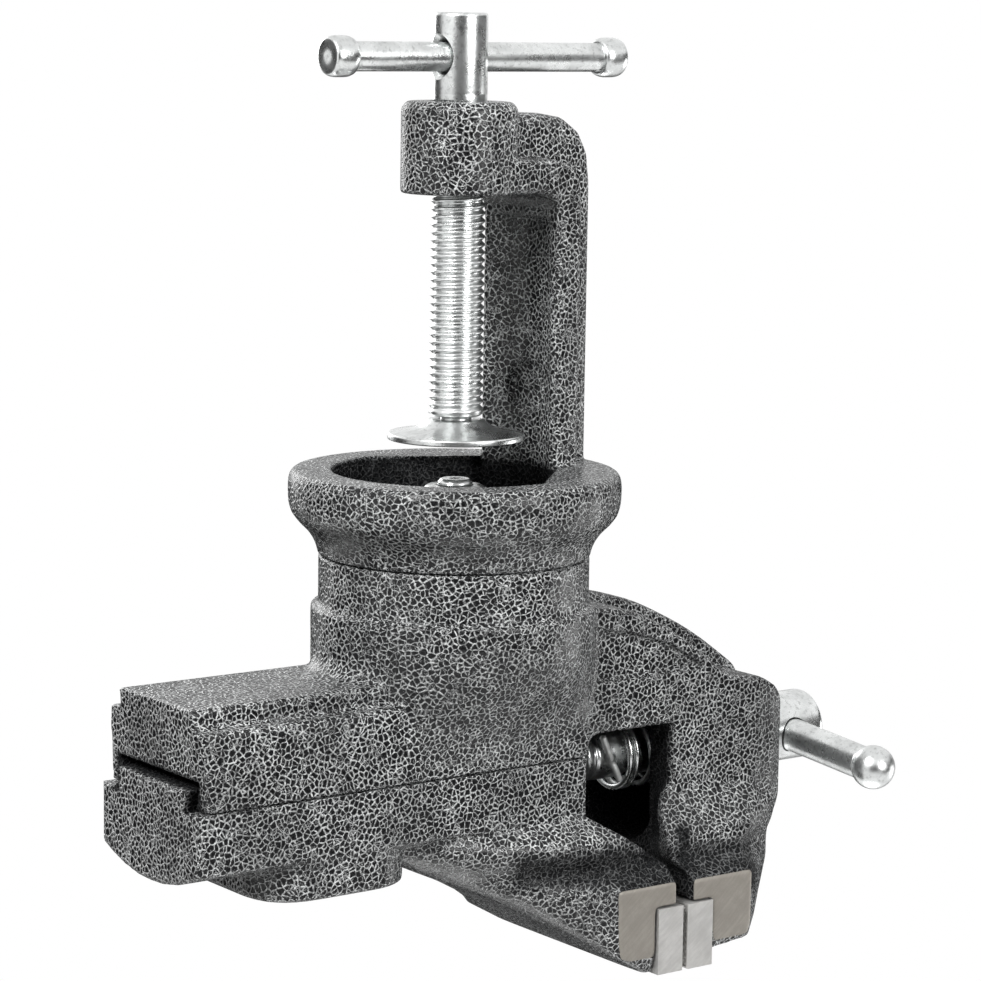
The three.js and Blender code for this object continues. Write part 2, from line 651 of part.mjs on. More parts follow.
// Jaw plate with countersunk screw holes, its grip face at zero and its back towards X
function jawPlate() {
  const sink = plateScrewHead - plateScrewRadius;
  const plate = alongX(outline(mirrored([
    [plateHalfWidth, plateBottom, gap], [plateHalfWidth, plateTop, gap],
  ])), 0, plateThick);
  const holes = [-1, 1].map(place => solid(turned([
    [0, -overrun], [plateScrewHead + gap, -overrun], [plateScrewHead + gap, 2 * gap],
    [plateScrewRadius + gap, sink + 2 * gap], [plateScrewRadius + gap, plateThick + overrun],
    [0, plateThick + overrun],
  ], pinSteps).rotateY(Math.PI / 2).translate(0, place * plateScrewSpread, plateScrewHeight)));
  return surface(cut(plate, ...holes));
}

function plateScrew() {
  const sink = plateScrewHead - plateScrewRadius;
  return turned([
    [0, 2 * gap], [plateScrewHead, 2 * gap], [plateScrewRadius, sink + 2 * gap],
    [plateScrewRadius, plateScrewLength], [0, plateScrewLength],
  ], pinSteps).rotateY(Math.PI / 2);
}

// Main screw along X about its own axis, with a cross hole for the bar and one for the split pin
const wallWasherX = hollowEnd - gap;
const springEndX = wallWasherX - washerThick - gap;
const springStartX = springEndX - springLength;
const splitPinX = springStartX - splitPinOffset;
const splitPinSide = splitPinWire + gap / 2;

function mainScrew() {
  const hubStart = frontFaceX + gap;
  const hubEnd = hubStart + hubLength;
  const chamfer = screwRadius / 6;
  const shank = solid(turned([
    [0, screwTipX], [screwRadius - chamfer, screwTipX], [screwRadius, screwTipX + chamfer],
    [screwRadius, hubStart], [hubRadius - chamfer / 2, hubStart], [hubRadius, hubStart + chamfer / 2],
    [hubRadius, hubEnd - chamfer], [hubRadius - chamfer, hubEnd], [0, hubEnd],
  ], roundSteps / 2).rotateY(Math.PI / 2));
  const barHole = solid(rod(mainBarRadius + gap, -hubRadius - overrun, hubRadius + overrun, pinSteps)
    .rotateX(Math.PI / 2).translate(mainBarX, 0, 0));
  const pinHole = solid(rod(splitPinSide + splitPinWire + gap, -screwRadius - overrun, screwRadius + overrun,
    pinSteps).rotateX(Math.PI / 2).translate(splitPinX, 0, 0));
  return surface(cut(shank, barHole, pinHole));
}

// Lead nut: wide block above the slide's neck with a narrow foot inside the tongue
function nutShape(extra) {
  const foot = slideBottom - tongueDrop + gap;
  return outline(mirrored([
    [nutFootHalfWidth + extra, foot - extra * 4], [nutFootHalfWidth + extra, slideBottom + nutShelf - extra],
    [nutHalfWidth + extra, slideBottom + nutShelf - extra], [nutHalfWidth + extra, nutTop + extra],
  ]));
}

const leadNut = () => surface(cut(alongX(nutShape(0), 0, nutLength),
  rodX(screwRadius + gap, -overrun, nutLength + overrun, screwHeight, pinSteps)));

const washer = (bore, radius, thick) =>
  turned([[bore, 0], [radius, 0], [radius, thick], [bore, thick]], roundSteps / 2).rotateY(Math.PI / 2);

// Tube of few sides along a line of points, closed at both ends
function wire(points, radius, sides) {
  const rings = points.map((point, i) => {
    const ahead = points[Math.min(i + 1, points.length - 1)].clone();
    const along = ahead.sub(points[Math.max(i - 1, 0)]).normalize();
    return { point, along };
  });
  let across = new THREE.Vector3(0, 0, 1).cross(rings[0].along);
  if (across.length() < 0.1) across = new THREE.Vector3(0, 1, 0).cross(rings[0].along);
  across.normalize();
  const places = [];
  rings.forEach(({ point, along }) => {
    across.addScaledVector(along, -across.dot(along)).normalize();
    const up = along.clone().cross(across);
    for (let side = 0; side < sides; side += 1) {
      const turn = 2 * Math.PI * side / sides;
      const offset = across.clone().multiplyScalar(Math.cos(turn)).addScaledVector(up, Math.sin(turn));
      places.push(...point.clone().addScaledVector(offset, radius).toArray());
    }
  });
  const faces = [];
  for (let ring = 0; ring + 1 < rings.length; ring += 1) {
    for (let side = 0; side < sides; side += 1) {
      const a = ring * sides + side;
      const b = ring * sides + (side + 1) % sides;
      faces.push(a, b, b + sides, a, b + sides, a + sides);
    }
  }
  const last = (rings.length - 1) * sides;
  for (let side = 1; side + 1 < sides; side += 1) {
    faces.push(0, side + 1, side, last, last + side, last + side + 1);
  }
  const geometry = new THREE.BufferGeometry();
  geometry.setAttribute('position', new THREE.Float32BufferAttribute(places, 3));
  geometry.setIndex(faces);
  geometry.computeVertexNormals();
  return geometry;
}

// Compression spring about X: a helix with one nearly closed turn at each end
function springPoints() {
  const closed = springCloseShare * springWire;
  const loose = springTurns - 2 * springCloseTurns;
  const open = (springLength - 2 * springWire - 2 * closed * springCloseTurns) / loose;
  const along = turn => open * THREE.MathUtils.clamp(turn - springCloseTurns, 0, loose)
    + closed * (Math.min(turn, springCloseTurns) + Math.max(0, turn - springCloseTurns - loose));
  return Array.from({ length: springTurns * springSteps + 1 }, (_, i) => {
    const turn = i / springSteps;
    const angle = 2 * Math.PI * turn + rad(springStartTurn);
    return new THREE.Vector3(springWire + along(turn), springRadius * Math.cos(angle), springRadius * Math.sin(angle));
  });
}

function leastSelfGap(points, radius, skip) {
  let least = Infinity;
  points.forEach((point, i) => {
    for (let j = i + skip; j < points.length; j += 1) least = Math.min(least, point.distanceTo(points[j]));
  });
  return least - 2 * radius;
}

// Split pin along Y: two legs side by side through the screw, a loop behind it, tips bent flat apart
const splitPinShares = [
  [6.1, 1.0], [2.6, 1.0], [1.5, 0.97], [1, 0.88], [1, 0], [1, -0.86], [1.7, -1.0], [1.9, -1.14], [1.2, -1.27],
];
function splitPin() {
  const leg = splitPinShares.map(([z, y]) => new THREE.Vector3(0, y * splitPinReach, z * splitPinSide));
  const knots = [...leg, ...leg.map(p => new THREE.Vector3(0, p.y, -p.z)).reverse()];
  const curve = new THREE.CatmullRomCurve3(knots, false, 'centripetal');
  return wire(curve.getPoints(knots.length * 2), splitPinWire, 6).rotateY(rad(splitPinTilt));
}

// The whole vise
const vise = new THREE.Group();

const base = new THREE.Group();
base.rotation.z = rad(armTurn);
base.add(piece('clamp_base', clampBase(), enamel));
vise.add(base);

const clamp = new THREE.Group();
clamp.add(piece('clamp_screw', clampScrew(), zinc), piece('clamp_pad', clampPad(), zinc));
const clampBar = piece('clamp_tommy_bar', bar(clampBarRadius, clampBarSpan, clampKnobLength), zinc);
clampBar.position.set(clampBarShift, 0, -clampBarDrop);
clamp.add(clampBar);
[-1, 1].forEach(side => {
  const knob = piece(side < 0 ? 'clamp_bar_knob_left' : 'clamp_bar_knob_right',
    flatKnob(clampKnobRadius, clampKnobLength), zinc);
  const seat = clampBarSpan / 2 - clampKnobLength / 2;
  knob.position.set(clampBarShift + side * seat, 0, -clampBarDrop);
  if (side < 0) knob.rotation.z = Math.PI;
  clamp.add(knob);
});
vise.add(clamp);

vise.add(piece('vise_body', viseBody(), enamel), piece('slide_jaw', slideJaw(), enamel));

[['front', 1], ['rear', -1]].forEach(([place, side]) => {
  const jaw = new THREE.Group();
  jaw.position.set(jawMidX + side * plateGap / 2, 0, 0);
  jaw.rotation.z = side < 0 ? Math.PI : 0;
  jaw.add(piece(`${place}_jaw_plate`, jawPlate(), ground));
  [-1, 1].forEach(end => {
    const screw = piece(`${place}_plate_screw_${end < 0 ? 'left' : 'right'}`, plateScrew(), dark);
    screw.position.set(0, end * plateScrewSpread, plateScrewHeight);
    jaw.add(screw);
  });
  vise.add(jaw);
});

const headTop = channelFloor - boltHeadDrop;
const headBottom = headTop - boltHeadHeight;
const bolt = join(alongZ(hexagon(boltHeadFlats), headBottom, headTop),
  rodZ(boltRadius, boltTip, headBottom + overrun, pinSteps));
vise.add(piece('pivot_bolt', surface(bolt), zinc));
const washerTop = cavityDepth - gap;
vise.add(piece('pivot_washer', turned([
  [boltRadius + gap, washerTop - pivotWasherThick], [pivotWasherRadius, washerTop - pivotWasherThick],
  [pivotWasherRadius, washerTop], [boltRadius + gap, washerTop],
], roundSteps / 2), zinc));
const nutTopZ = washerTop - pivotWasherThick - gap;
vise.add(piece('pivot_nut', surface(cut(alongZ(hexagon(boltHeadFlats), nutTopZ - nutHeight, nutTopZ),
  rodZ(boltRadius + gap, 0, cavityDepth, pinSteps))), zinc));

const nut = piece('lead_nut', leadNut(), dark);
nut.position.x = slideFrontX - nutWall - nutLength - gap;
vise.add(nut);

const screwLine = new THREE.Group();
screwLine.position.z = screwHeight;
screwLine.rotation.x = rad(screwTurn);
screwLine.add(piece('main_screw', mainScrew(), zinc));
const pin = piece('split_pin', splitPin(), zinc);
pin.position.x = splitPinX;
screwLine.add(pin);
const wallWasher = piece('wall_washer', washer(screwRadius + gap, washerRadius, washerThick), zinc);
wallWasher.position.x = wallWasherX - washerThick;
screwLine.add(wallWasher);
const coil = springPoints();
const spring = piece('thrust_spring', wire(coil, springWire, springSides), zinc);
spring.position.x = springStartX;
screwLine.add(spring);
console.log(`thrust_spring least self gap ${leastSelfGap(coil, springWire, springSteps - 2).toFixed(2)} mm`);

const mainBar = new THREE.Group();
mainBar.position.x = mainBarX;
mainBar.rotation.z = Math.PI / 2;
mainBar.add(piece('main_tommy_bar', bar(mainBarRadius, mainBarSpan, 2 * mainKnobRadius), zinc));
[-1, 1].forEach(side => {
  const knob = piece(side < 0 ? 'main_bar_knob_left' : 'main_bar_knob_right',
    ballKnob(mainKnobRadius, mainBarRadius - gap), zinc);
  knob.position.x = side * (mainBarSpan / 2 - mainKnobRadius);
  if (side < 0) knob.rotation.z = Math.PI;
  mainBar.add(knob);
});
screwLine.add(mainBar);
vise.add(screwLine);

export default vise;
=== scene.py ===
"""Looks of the clamp-on swivel bench vise: hammered enamel castings, bright zinc screws and ground jaws.

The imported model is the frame. Castings are the frame's own solids with softened edges, and screws,
bars, knobs, pad, spring, pin and jaw plates are surfaces worked out with numpy in their places.
Lengths in tables and formulas are millimetres until mesh_object() turns them into metres. The studio's
lamps and flags, the settings and the materials are in metres.
"""

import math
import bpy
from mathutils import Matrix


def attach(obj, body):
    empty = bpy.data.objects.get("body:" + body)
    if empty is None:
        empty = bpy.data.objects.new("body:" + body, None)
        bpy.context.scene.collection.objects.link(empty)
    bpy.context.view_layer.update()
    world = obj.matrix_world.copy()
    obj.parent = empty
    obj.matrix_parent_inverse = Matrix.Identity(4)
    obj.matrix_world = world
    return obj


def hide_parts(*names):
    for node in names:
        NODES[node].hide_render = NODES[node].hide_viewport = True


bl_info = {
    "name": "Swivel bench vise",
    "version": (1, 0, 0),
    "blender": (4, 5, 0),
    "location": "3D View > Sidebar > Bench Vise",
    "description": "Dresses the packed swivel bench vise and sets its studio",
    "category": "Object",
}

import bmesh
import bpy
import numpy as np
from mathutils import Matrix, Vector

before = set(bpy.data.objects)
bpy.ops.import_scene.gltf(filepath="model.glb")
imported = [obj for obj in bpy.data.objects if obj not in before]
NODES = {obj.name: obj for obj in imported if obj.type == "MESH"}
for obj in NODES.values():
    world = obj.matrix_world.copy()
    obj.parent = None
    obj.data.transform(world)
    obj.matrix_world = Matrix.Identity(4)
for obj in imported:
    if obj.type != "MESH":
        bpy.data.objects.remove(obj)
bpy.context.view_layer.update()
MM = 0.001
TURN = 2 * math.pi

# Places and sizes of the vise that its new surfaces follow, in millimetres and degrees

# Main screw, along X at its own height, turned a little
SCREW_HEIGHT = 70.5
SCREW_ROLL = 5.0
MAIN_RADIUS = 6.0
MAIN_THREAD = (-43.9, 38.8)
MAIN_HUB_START = 88.3
MAIN_BAR_X = 97.0
MAIN_BAR_RADIUS, MAIN_BAR_HOLE, MAIN_BAR_HALF = 4.0, 4.3, 33.0
MAIN_BALL, MAIN_BALL_SEAT, MAIN_KNOB_PLACE = 5.2, 3.94, 32.3
SPLIT_PIN_X = 41.3
SPLIT_PIN_HOLE = 2.0

# Clamp screw, along Z, with the ball that its pad turns on
CLAMP_RADIUS = 6.1
CLAMP_THREAD = (-82.5, -12.9)
CLAMP_BALL, PAD_SOCKET, CLAMP_BALL_Z = 3.6, 3.9, -10.8
CLAMP_BAR_Z = -91.9
CLAMP_BAR_SHIFT = 4.6
CLAMP_BAR_RADIUS, CLAMP_BAR_HALF, CLAMP_KNOB_PLACE = 3.25, 36.3, 33.3

# Rounding of a bar's ends, which the knobs hide
BAR_EASE = 0.4

# Jaw plates and their screws
JAW_MIDDLE = 45.25
PLATE_GAP = 1.3
PLATE_THICK = 7.4
PLATE_LOW, PLATE_HIGH = 100.6, 116.0
PLATE_HALF_WIDTH = 30.4
PLATE_SCREW_Y = 19.0
PLATE_SCREW_Z = (PLATE_LOW + PLATE_HIGH) / 2
# (radius, depth) from under the head's face to the end
PLATE_SCREW_TAIL = [(4.8, 0.95), (2.5, 2.9), (2.5, 13.6), (2.1, 14.0)]

# Swivel bolt and its nut
BOLT_RADIUS, BOLT_PITCH, BOLT_THREAD_DEPTH = 4.0, 1.25, 0.5
BOLT_THREAD = (3.0, 24.0)
BOLT_HEAD = (51.4, 56.7)
NUT_HEIGHTS = (3.5, 9.8)
NUT_BORE, NUT_FLATS = 4.25, 13.0

# The castings' ground ends lie outside BARE_FROM, above BARE_ABOVE, and fade in over BARE_FADE
BARE_ABOVE, BARE_FROM, BARE_FADE = 70.0, 29.72, 0.08

# Place of the camera that was fitted to the photograph
CAMERA_PLACE = (-426.1, 591.5, -101.5)

# Levels at which one casting meets the next, which stay crisp
PIVOT_PLANES = (18.85, 19.15)
SLIDE_PLANES = (65.2, 65.5)

# Profiles of turned pieces: corners of (radius, height, rounding)
CLAMP_HUB = [(0, -101.6, 0), (CLAMP_RADIUS, -101.6, 0.9), (CLAMP_RADIUS, -83.6, 0.2), (0, -83.6, 0)]
CLAMP_HUB_HOLE = [(0, -7.5, 0), (6.2, -7.5, 0), (3.6, -4.3, 0.8),
                  (3.6, 4.3, 0.8), (6.2, 7.5, 0), (0, 7.5, 0)]
CLAMP_KNOB = [(0, 0.3, 0), (3.9, 0.3, 0.5), (4.5, 1.6, 1.0), (4.5, 5.2, 1.2), (4.0, 6.4, 0.5), (0, 6.4, 0)]
PAD_OUTSIDE = [(PAD_SOCKET, -6.9, 0), (15.3, -6.9, 0.3), (15.3, -8.3, 0.5), (11.0, -9.0, 1.4),
               (8.2, -9.9, 1.2), (6.4, -11.3, 0.8), (5.6, -11.5, 0.3), (PAD_SOCKET, -11.45, 0)]
MAIN_HUB = [(0, MAIN_HUB_START, 0), (7.9, MAIN_HUB_START, 0.4), (8.4, 88.8, 0.3), (8.4, 105.5, 1.0),
            (7.6, 106.5, 0.6), (0, 106.5, 0)]

# Painted shade on the castings, as laid on their vertices below: cavities and recesses whose enamel is
# darkened to show no network, and slopes in shadow whose network is darkened by a share
CUP_SHADE = [(27.6, 0.8, 13)]
BODY_SHADE = [
    ((-90, -17, 59), (25, 17, 65)), ((23.5, -17.5, 59), (49, 17.5, 66)),
    ((46, -11.6, 59), (75, 11.6, 92)), ((46, -18, 59), (48.9, 18, 99)),
    ((23, -17, 59), (25, 17, 73)), ((46, -28, 84), (49, 28, 100.5)),
    ((46, -30, 90.5), (68, 30, 98.5), 0.85, 4.0), ((62, -40, 30), (90, 40, 96), 0.25, 6.0)]
SLIDE_SHADE = [
    ((-90, -15, 60), (-77.5, -12.8, 66)), ((-77.5, -15, 60), (30, 15, 66)),
    ((23.2, -17, 66), (43.5, 17, 90)), ((36, -26, 84), (43.5, 26, 100.5)),
    ((4, -30, 86.5), (32, 30, 92.5), 0.85, 3.0), ((28, -30, 88), (44, 30, 98), 0.85, 3.0)]

# Studio, in metres: name, place, size and watts of a lamp; name, place, width and height of a flag
VISE_MIDDLE = (0, 0, 0.03)
LAMPS = (("lamp_key", (-0.85, 0.30, -0.75), 0.5, 10.5), ("lamp_fill", (0.30, 1.50, -0.40), 0.8, 13.0),
         ("lamp_above", (0.20, -0.20, 1.60), 1.2, 8.0), ("lamp_side", (1.60, 0.45, 0.50), 0.9, 7.0),
         ("lamp_behind", (0.15, -1.55, -0.30), 1.0, 8.0))
FLAGS = (("flag_front", (-0.85, 1.60, -0.15), 2.3, 1.3), ("flag_right", (0.90, 1.70, 0.05), 1.6, 1.5),
         ("flag_side", (1.84, 0.49, 0.20), 1.7, 1.6), ("flag_left", (-1.12, -1.54, 0.20), 1.6, 1.4),
         ("flag_behind", (1.12, -1.54, 0.88), 2.6, 1.8))
WORLD_STRENGTH, FLOOR_WHITE, FLOOR_REACH = 0.16, 0.6, 6.0


# Sizes and colours that a user would change

class CastingSettings(bpy.types.PropertyGroup):
    grain: bpy.props.FloatProperty(
        name="Grain", description="Size of the remeshed faces of a casting",
        default=0.5 * MM, min=0.4 * MM, unit="LENGTH", precision=5)
    softening: bpy.props.IntProperty(
        name="Softening", description="Smoothing passes over the cast edges", default=8, min=0)
    triangles: bpy.props.IntProperty(
        name="Triangles", description="Most triangles that a casting keeps", default=170000, min=10000)
    cell: bpy.props.FloatProperty(
        name="Cell", description="Width of one cell of the hammered enamel",
        default=1.3 * MM, min=0.5 * MM, unit="LENGTH", precision=5)
    dark: bpy.props.FloatVectorProperty(
        name="Enamel", description="Colour inside the enamel's cells", subtype="COLOR",
        default=(0.007, 0.0073, 0.0078))
    light: bpy.props.FloatVectorProperty(
        name="Network", description="Colour of the enamel's silver network", subtype="COLOR",
        default=(0.53, 0.54, 0.54))


class SteelSettings(bpy.types.PropertyGroup):
    zinc: bpy.props.FloatVectorProperty(
        name="Zinc", description="Colour of the zinc-plated pieces", subtype="COLOR",
        default=(0.76, 0.775, 0.77))
    ground: bpy.props.FloatVectorProperty(
        name="Ground casting", description="Colour of the jaws' ground ends", subtype="COLOR",
        default=(0.345, 0.321, 0.286))
    plate: bpy.props.FloatVectorProperty(
        name="Jaw plate", description="Colour of the ground jaw plates", subtype="COLOR",
        default=(0.66, 0.65, 0.63))
    pitch: bpy.props.FloatProperty(
        name="Pitch", description="Pitch of the screw threads",
        default=1.75 * MM, min=0.5 * MM, unit="LENGTH", precision=5)
    thread_depth: bpy.props.FloatProperty(
        name="Thread depth", description="Depth of the screw threads",
        default=0.75 * MM, min=0.1 * MM, unit="LENGTH", precision=5)
    tooth: bpy.props.FloatProperty(
        name="Tooth", description="Width of one tooth of the jaw plates' grip",
        default=1.5 * MM, min=0.5 * MM, unit="LENGTH", precision=5)


class StudioSettings(bpy.types.PropertyGroup):
    lens: bpy.props.FloatProperty(
        name="Lens", description="Focal length on a 36 mm wide image", default=120.2, unit="CAMERA")
    azimuth: bpy.props.FloatProperty(
        name="Azimuth", description="Turn of the view from the vise's Y axis, in degrees", default=36.4)
    rise: bpy.props.FloatProperty(
        name="Rise", description="Upward tilt of the view, in degrees", default=8.29)
    roll: bpy.props.FloatProperty(
        name="Roll", description="Roll of the upside-down picture, in degrees", default=0.84)
    floor_height: bpy.props.FloatProperty(
        name="Floor", description="Height of the studio floor", default=-0.95, unit="LENGTH")


def settings(group):
    """The scene's values of one property group."""
    return getattr(bpy.context.scene, group)


# Meshes from whole arrays

def mesh_object(name, points, faces, smooth=True):
    """One object at the origin from points in millimetres and rows of corner numbers."""
    mesh = bpy.data.meshes.new(name)
    mesh.from_pydata((np.asarray(points, float) * MM).tolist(), [], [list(f) for f in faces])
    mesh.polygons.foreach_set("use_smooth", np.full(len(mesh.polygons), smooth))
    mesh.update()
    made = bpy.data.objects.new(name, mesh)
    bpy.context.scene.collection.objects.link(made)
    return made


def grid_faces(rows, columns, closed):
    """Quads between neighbouring points of a grid, rows along the piece and columns round it."""
    i, j = np.meshgrid(np.arange(rows - 1), np.arange(columns if closed else columns - 1), indexing="ij")
    k = (j + 1) % columns
    return np.stack([i * columns + j, i * columns + k, (i + 1) * columns + k, (i + 1) * columns + j],
                    axis=-1).reshape(-1, 4)


def tube(name, rings):
    """Closed skin over rings of points, with a flat fan at each end from the ring's own middle."""
    rows, columns, _ = rings.shape
    points = np.concatenate([rings.reshape(-1, 3), [rings[0].mean(0)], [rings[-1].mean(0)]])
    j = np.arange(columns)
    k = (j + 1) % columns
    last = (rows - 1) * columns
    start = np.stack([k, j, np.full(columns, rows * columns)], axis=-1)
    end = np.stack([last + j, last + k, np.full(columns, rows * columns + 1)], axis=-1)
    faces = [*grid_faces(rows, columns, True).tolist(), *start.tolist(), *end.tolist()]
    return mesh_object(name, points, faces)


def placed(points, place=(0, 0, 0), axis="Z", roll=0.0):
    """Points made along Z, laid along the named axis, then rolled about the main screw's X and moved."""
    base = {"Z": Matrix.Identity(3), "X": Matrix(((0, 0, 1), (0, 1, 0), (-1, 0, 0))),
            "-X": Matrix(((0, 0, -1), (0, 1, 0), (1, 0, 0))),
            "Y": Matrix(((1, 0, 0), (0, 0, 1), (0, -1, 0))),
            "-Y": Matrix(((1, 0, 0), (0, 0, -1), (0, 1, 0)))}[axis]
    turn = Matrix.Rotation(math.radians(roll), 3, "X") @ base
    return points @ np.array(turn, float).T + np.array(place, float)


def rounded(corners, steps=5):
    """Profile of (radius, height, rounding) corners, each rounded by a quadratic curve to its sides."""
    corners = np.array(corners, float)
    out = []
    for i, (r, z, fillet) in enumerate(corners):
        here = np.array([r, z])
        if fillet <= 0 or i in (0, len(corners) - 1):
            out.append(here[None])
            continue
        before, after = corners[i - 1, :2] - here, corners[i + 1, :2] - here
        enter = here + before / np.linalg.norm(before) * min(fillet, np.linalg.norm(before) * 0.49)
        leave = here + after / np.linalg.norm(after) * min(fillet, np.linalg.norm(after) * 0.49)
        t = np.linspace(0, 1, steps + 1)[:, None]
        out.append((1 - t) ** 2 * enter + 2 * t * (1 - t) * here + t ** 2 * leave)
    return np.concatenate(out)


def cylinder(radius, low, high, ease=0):
    """Profile of a rod whose edges are rounded by the ease."""
    return rounded([(0, low, 0), (radius, low, ease), (radius, high, ease), (0, high, 0)])


def circle(sides):
    """The turns u of a ring's points."""
    return np.arange(sides) / sides * TURN


def revolved(radii, heights, sides):
    """Rings of the points (r cos u, r sin u, z), for radii that are one a ring or one a point."""
    u = circle(sides)
    r = radii[:, None] if radii.ndim == 1 else radii
    return np.stack([r * np.cos(u), r * np.sin(u), np.repeat(heights[:, None], sides, 1)], axis=-1)


def turned(name, profile, sides, **place):
    """Closed surface of revolution of a profile of (radius, height) points."""
    return tube(name, placed(revolved(profile[:, 0], profile[:, 1], sides), **place))


def threaded(name, ends, radius, pitch, depth, thread, sides=60, **place):
    """Screw: radius less a rounded groove whose depth follows the phase height/pitch - turn/circle.

    The groove fades out over one pitch at both ends of the thread. ends are (radius, height, rounding)
    corners that close the screw below and above it.
    """
    start, stop = thread
    rows, steepness, crest = 9, 1.25, 0.12
    heights = np.arange(start, stop, pitch / rows)
    phase = (heights[:, None] / pitch - circle(sides)[None] / TURN) % 1
    groove = np.clip(steepness * (1 - np.abs(2 * phase - 1)) - crest, 0, 1)
    fade = np.clip(np.minimum(heights - start, stop - heights) / pitch, 0, 1)
    body = revolved(radius - depth * groove * fade[:, None], heights, sides)
    lower, upper = (revolved(p[:, 0], p[:, 1], sides) for p in map(rounded, ends))
    return tube(name, placed(np.concatenate([lower, body, upper]), **place))


def swept(name, path, across, radius, sides, **place):
    """Wire along a path: rings of the wire's radius in the plane of the side vector and tangent x side."""
    tangent = np.gradient(path, axis=0)
    tangent /= np.linalg.norm(tangent, axis=1)[:, None]
    side = across - (across * tangent).sum(1)[:, None] * tangent
    side /= np.linalg.norm(side, axis=1)[:, None]
    other = np.cross(tangent, side)
    u = circle(sides)[None, :, None]
    rings = path[:, None] + radius * (np.cos(u) * side[:, None] + np.sin(u) * other[:, None])
    return tube(name, placed(rings, **place))


def spline(knots, steps):
    """Smooth curve through knots: on each span, the Catmull-Rom cubic of the four knots around it."""
    k = np.array(knots, float)
    k = np.concatenate([[2 * k[0] - k[1]], k, [2 * k[-1] - k[-2]]])
    a, b, c, d = k[:-3], k[1:-2], k[2:-1], k[3:]
    t = np.linspace(0, 1, steps, endpoint=False)[:, None, None]
    curve = 0.5 * (2 * b + (c - a) * t + (2 * a - 5 * b + 4 * c - d) * t ** 2
                   + (3 * b - a - 3 * c + d) * t ** 3)
    return np.concatenate([curve.transpose(1, 0, 2).reshape(-1, k.shape[1]), k[-2:-1]])


def settle(made):
    """Puts the result of an object's modifiers into its mesh and drops the modifiers."""
    seen = made.evaluated_get(bpy.context.evaluated_depsgraph_get())
    result = bpy.data.meshes.new_from_object(seen)
    made.modifiers.clear()
    made.data = result
    made.data.polygons.foreach_set("use_smooth", np.ones(len(result.polygons), bool))
    return made


def crisp(made, degrees):
    """Splits a piece's edges where its faces meet at more than the angle, so that they shade sharp."""
    split = made.modifiers.new("Edges", "EDGE_SPLIT")
    split.split_angle = math.radians(degrees)
    return settle(made)


def drill(made, cutter):
    """Takes the cutter's solid out of a piece."""
    cut = made.modifiers.new("Hole", "BOOLEAN")
    cut.operation, cut.object, cut.solver = "DIFFERENCE", cutter, "EXACT"
    settle(made)
    bpy.data.objects.remove(cutter)
    return crisp(made, 35)


# Materials

class Finish:
    """A material under construction: node() adds a node, wires its inputs and returns its output.

    An input is named by its label or, where labels repeat, by i and its number. Scales of noises are
    in cells per metre.
    """

    def __init__(self, name):
        self.material = bpy.data.materials.new(name)
        self.material.use_nodes = True
        self.tree = self.material.node_tree
        self.shader = self.tree.nodes["Principled BSDF"]
        self.place = self.node("ShaderNodeTexCoord", out="Object")

    def node(self, kind, out=0, options=(), **inputs):
        made = self.tree.nodes.new(kind)
        for key, value in dict(options).items():
            setattr(made, key, value)
        for key, value in inputs.items():
            numbered = key[0] == "i" and key[1:].isdigit()
            self.put(made.inputs[int(key[1:]) if numbered else key], value)
        return made.outputs[out]

    def put(self, socket, value):
        if isinstance(value, bpy.types.NodeSocket):
            self.tree.links.new(value, socket)
        else:
            socket.default_value = value

    def set(self, **inputs):
        for key, value in inputs.items():
            self.put(self.shader.inputs[key.replace("_", " ")], value)

    def math(self, operation, a, b=0.0, c=0.0):
        return self.node("ShaderNodeMath", options={"operation": operation}, i0=a, i1=b, i2=c)

    def remap(self, value, low, high, to_low=0.0, to_high=1.0, smooth=True):
        kind = "SMOOTHSTEP" if smooth else "LINEAR"
        return self.node("ShaderNodeMapRange", options={"interpolation_type": kind},
                         i0=value, i1=low, i2=high, i3=to_low, i4=to_high)

    def blend(self, share, a, b):
        return self.node("ShaderNodeMix", out=2, options={"data_type": "RGBA"}, i0=share, i6=a, i7=b)

    def noise(self, scale, detail=3.0, roughness=0.5, vector=None, out=0):
        return self.node("ShaderNodeTexNoise", out=out, Vector=vector or self.place, Scale=scale,
                         Detail=detail, Roughness=roughness)

    def stretched(self, scale, turn):
        """Coordinates turned first and then drawn out, so that streaks run along the turned X axis."""
        return self.node("ShaderNodeMapping", options={"vector_type": "TEXTURE"}, Vector=self.place,
                         Scale=tuple(1 / s for s in scale), Rotation=tuple(math.radians(a) for a in turn))

    def bump(self, height, distance, strength=1.0, normal=None):
        extra = {"Normal": normal} if normal else {}
        return self.node("ShaderNodeBump", Height=height, Distance=distance, Strength=strength, **extra)


def rgba(colour, share=1.0):
    """A colour with its alpha, lightened or darkened by a share."""
    return (*(c * share for c in colour), 1.0)


def scratched(finish, colour, turn, amount):
    """Soft grinding streaks and fine scratches: stretched noises, turned about Y, over a cloudy colour.

    Streaks are darker and lighter than the colour by the amount. Returns the colour and the marks.
    """
    lines = finish.noise(1.0, 3.0, 0.55, finish.stretched((160, 400, 1500), (0, turn, 0)))
    cross = finish.noise(1.0, 5.0, 0.7, finish.stretched((300, 600, 7000), (0, turn - 24, 0)))
    clouds = finish.noise(240.0, 5.0, 0.65)
    marks = finish.math("ADD", finish.remap(lines, 0.35, 0.66, 0.0, 0.6),
                        finish.remap(cross, 0.5, 0.8, 0.0, 0.6))
    tone = finish.blend(marks, rgba(colour, 1 - amount), rgba(colour, 1 + amount))
    return finish.blend(finish.remap(clouds, 0.3, 0.7, 0.0, 0.5), tone, rgba(colour, 0.74)), marks


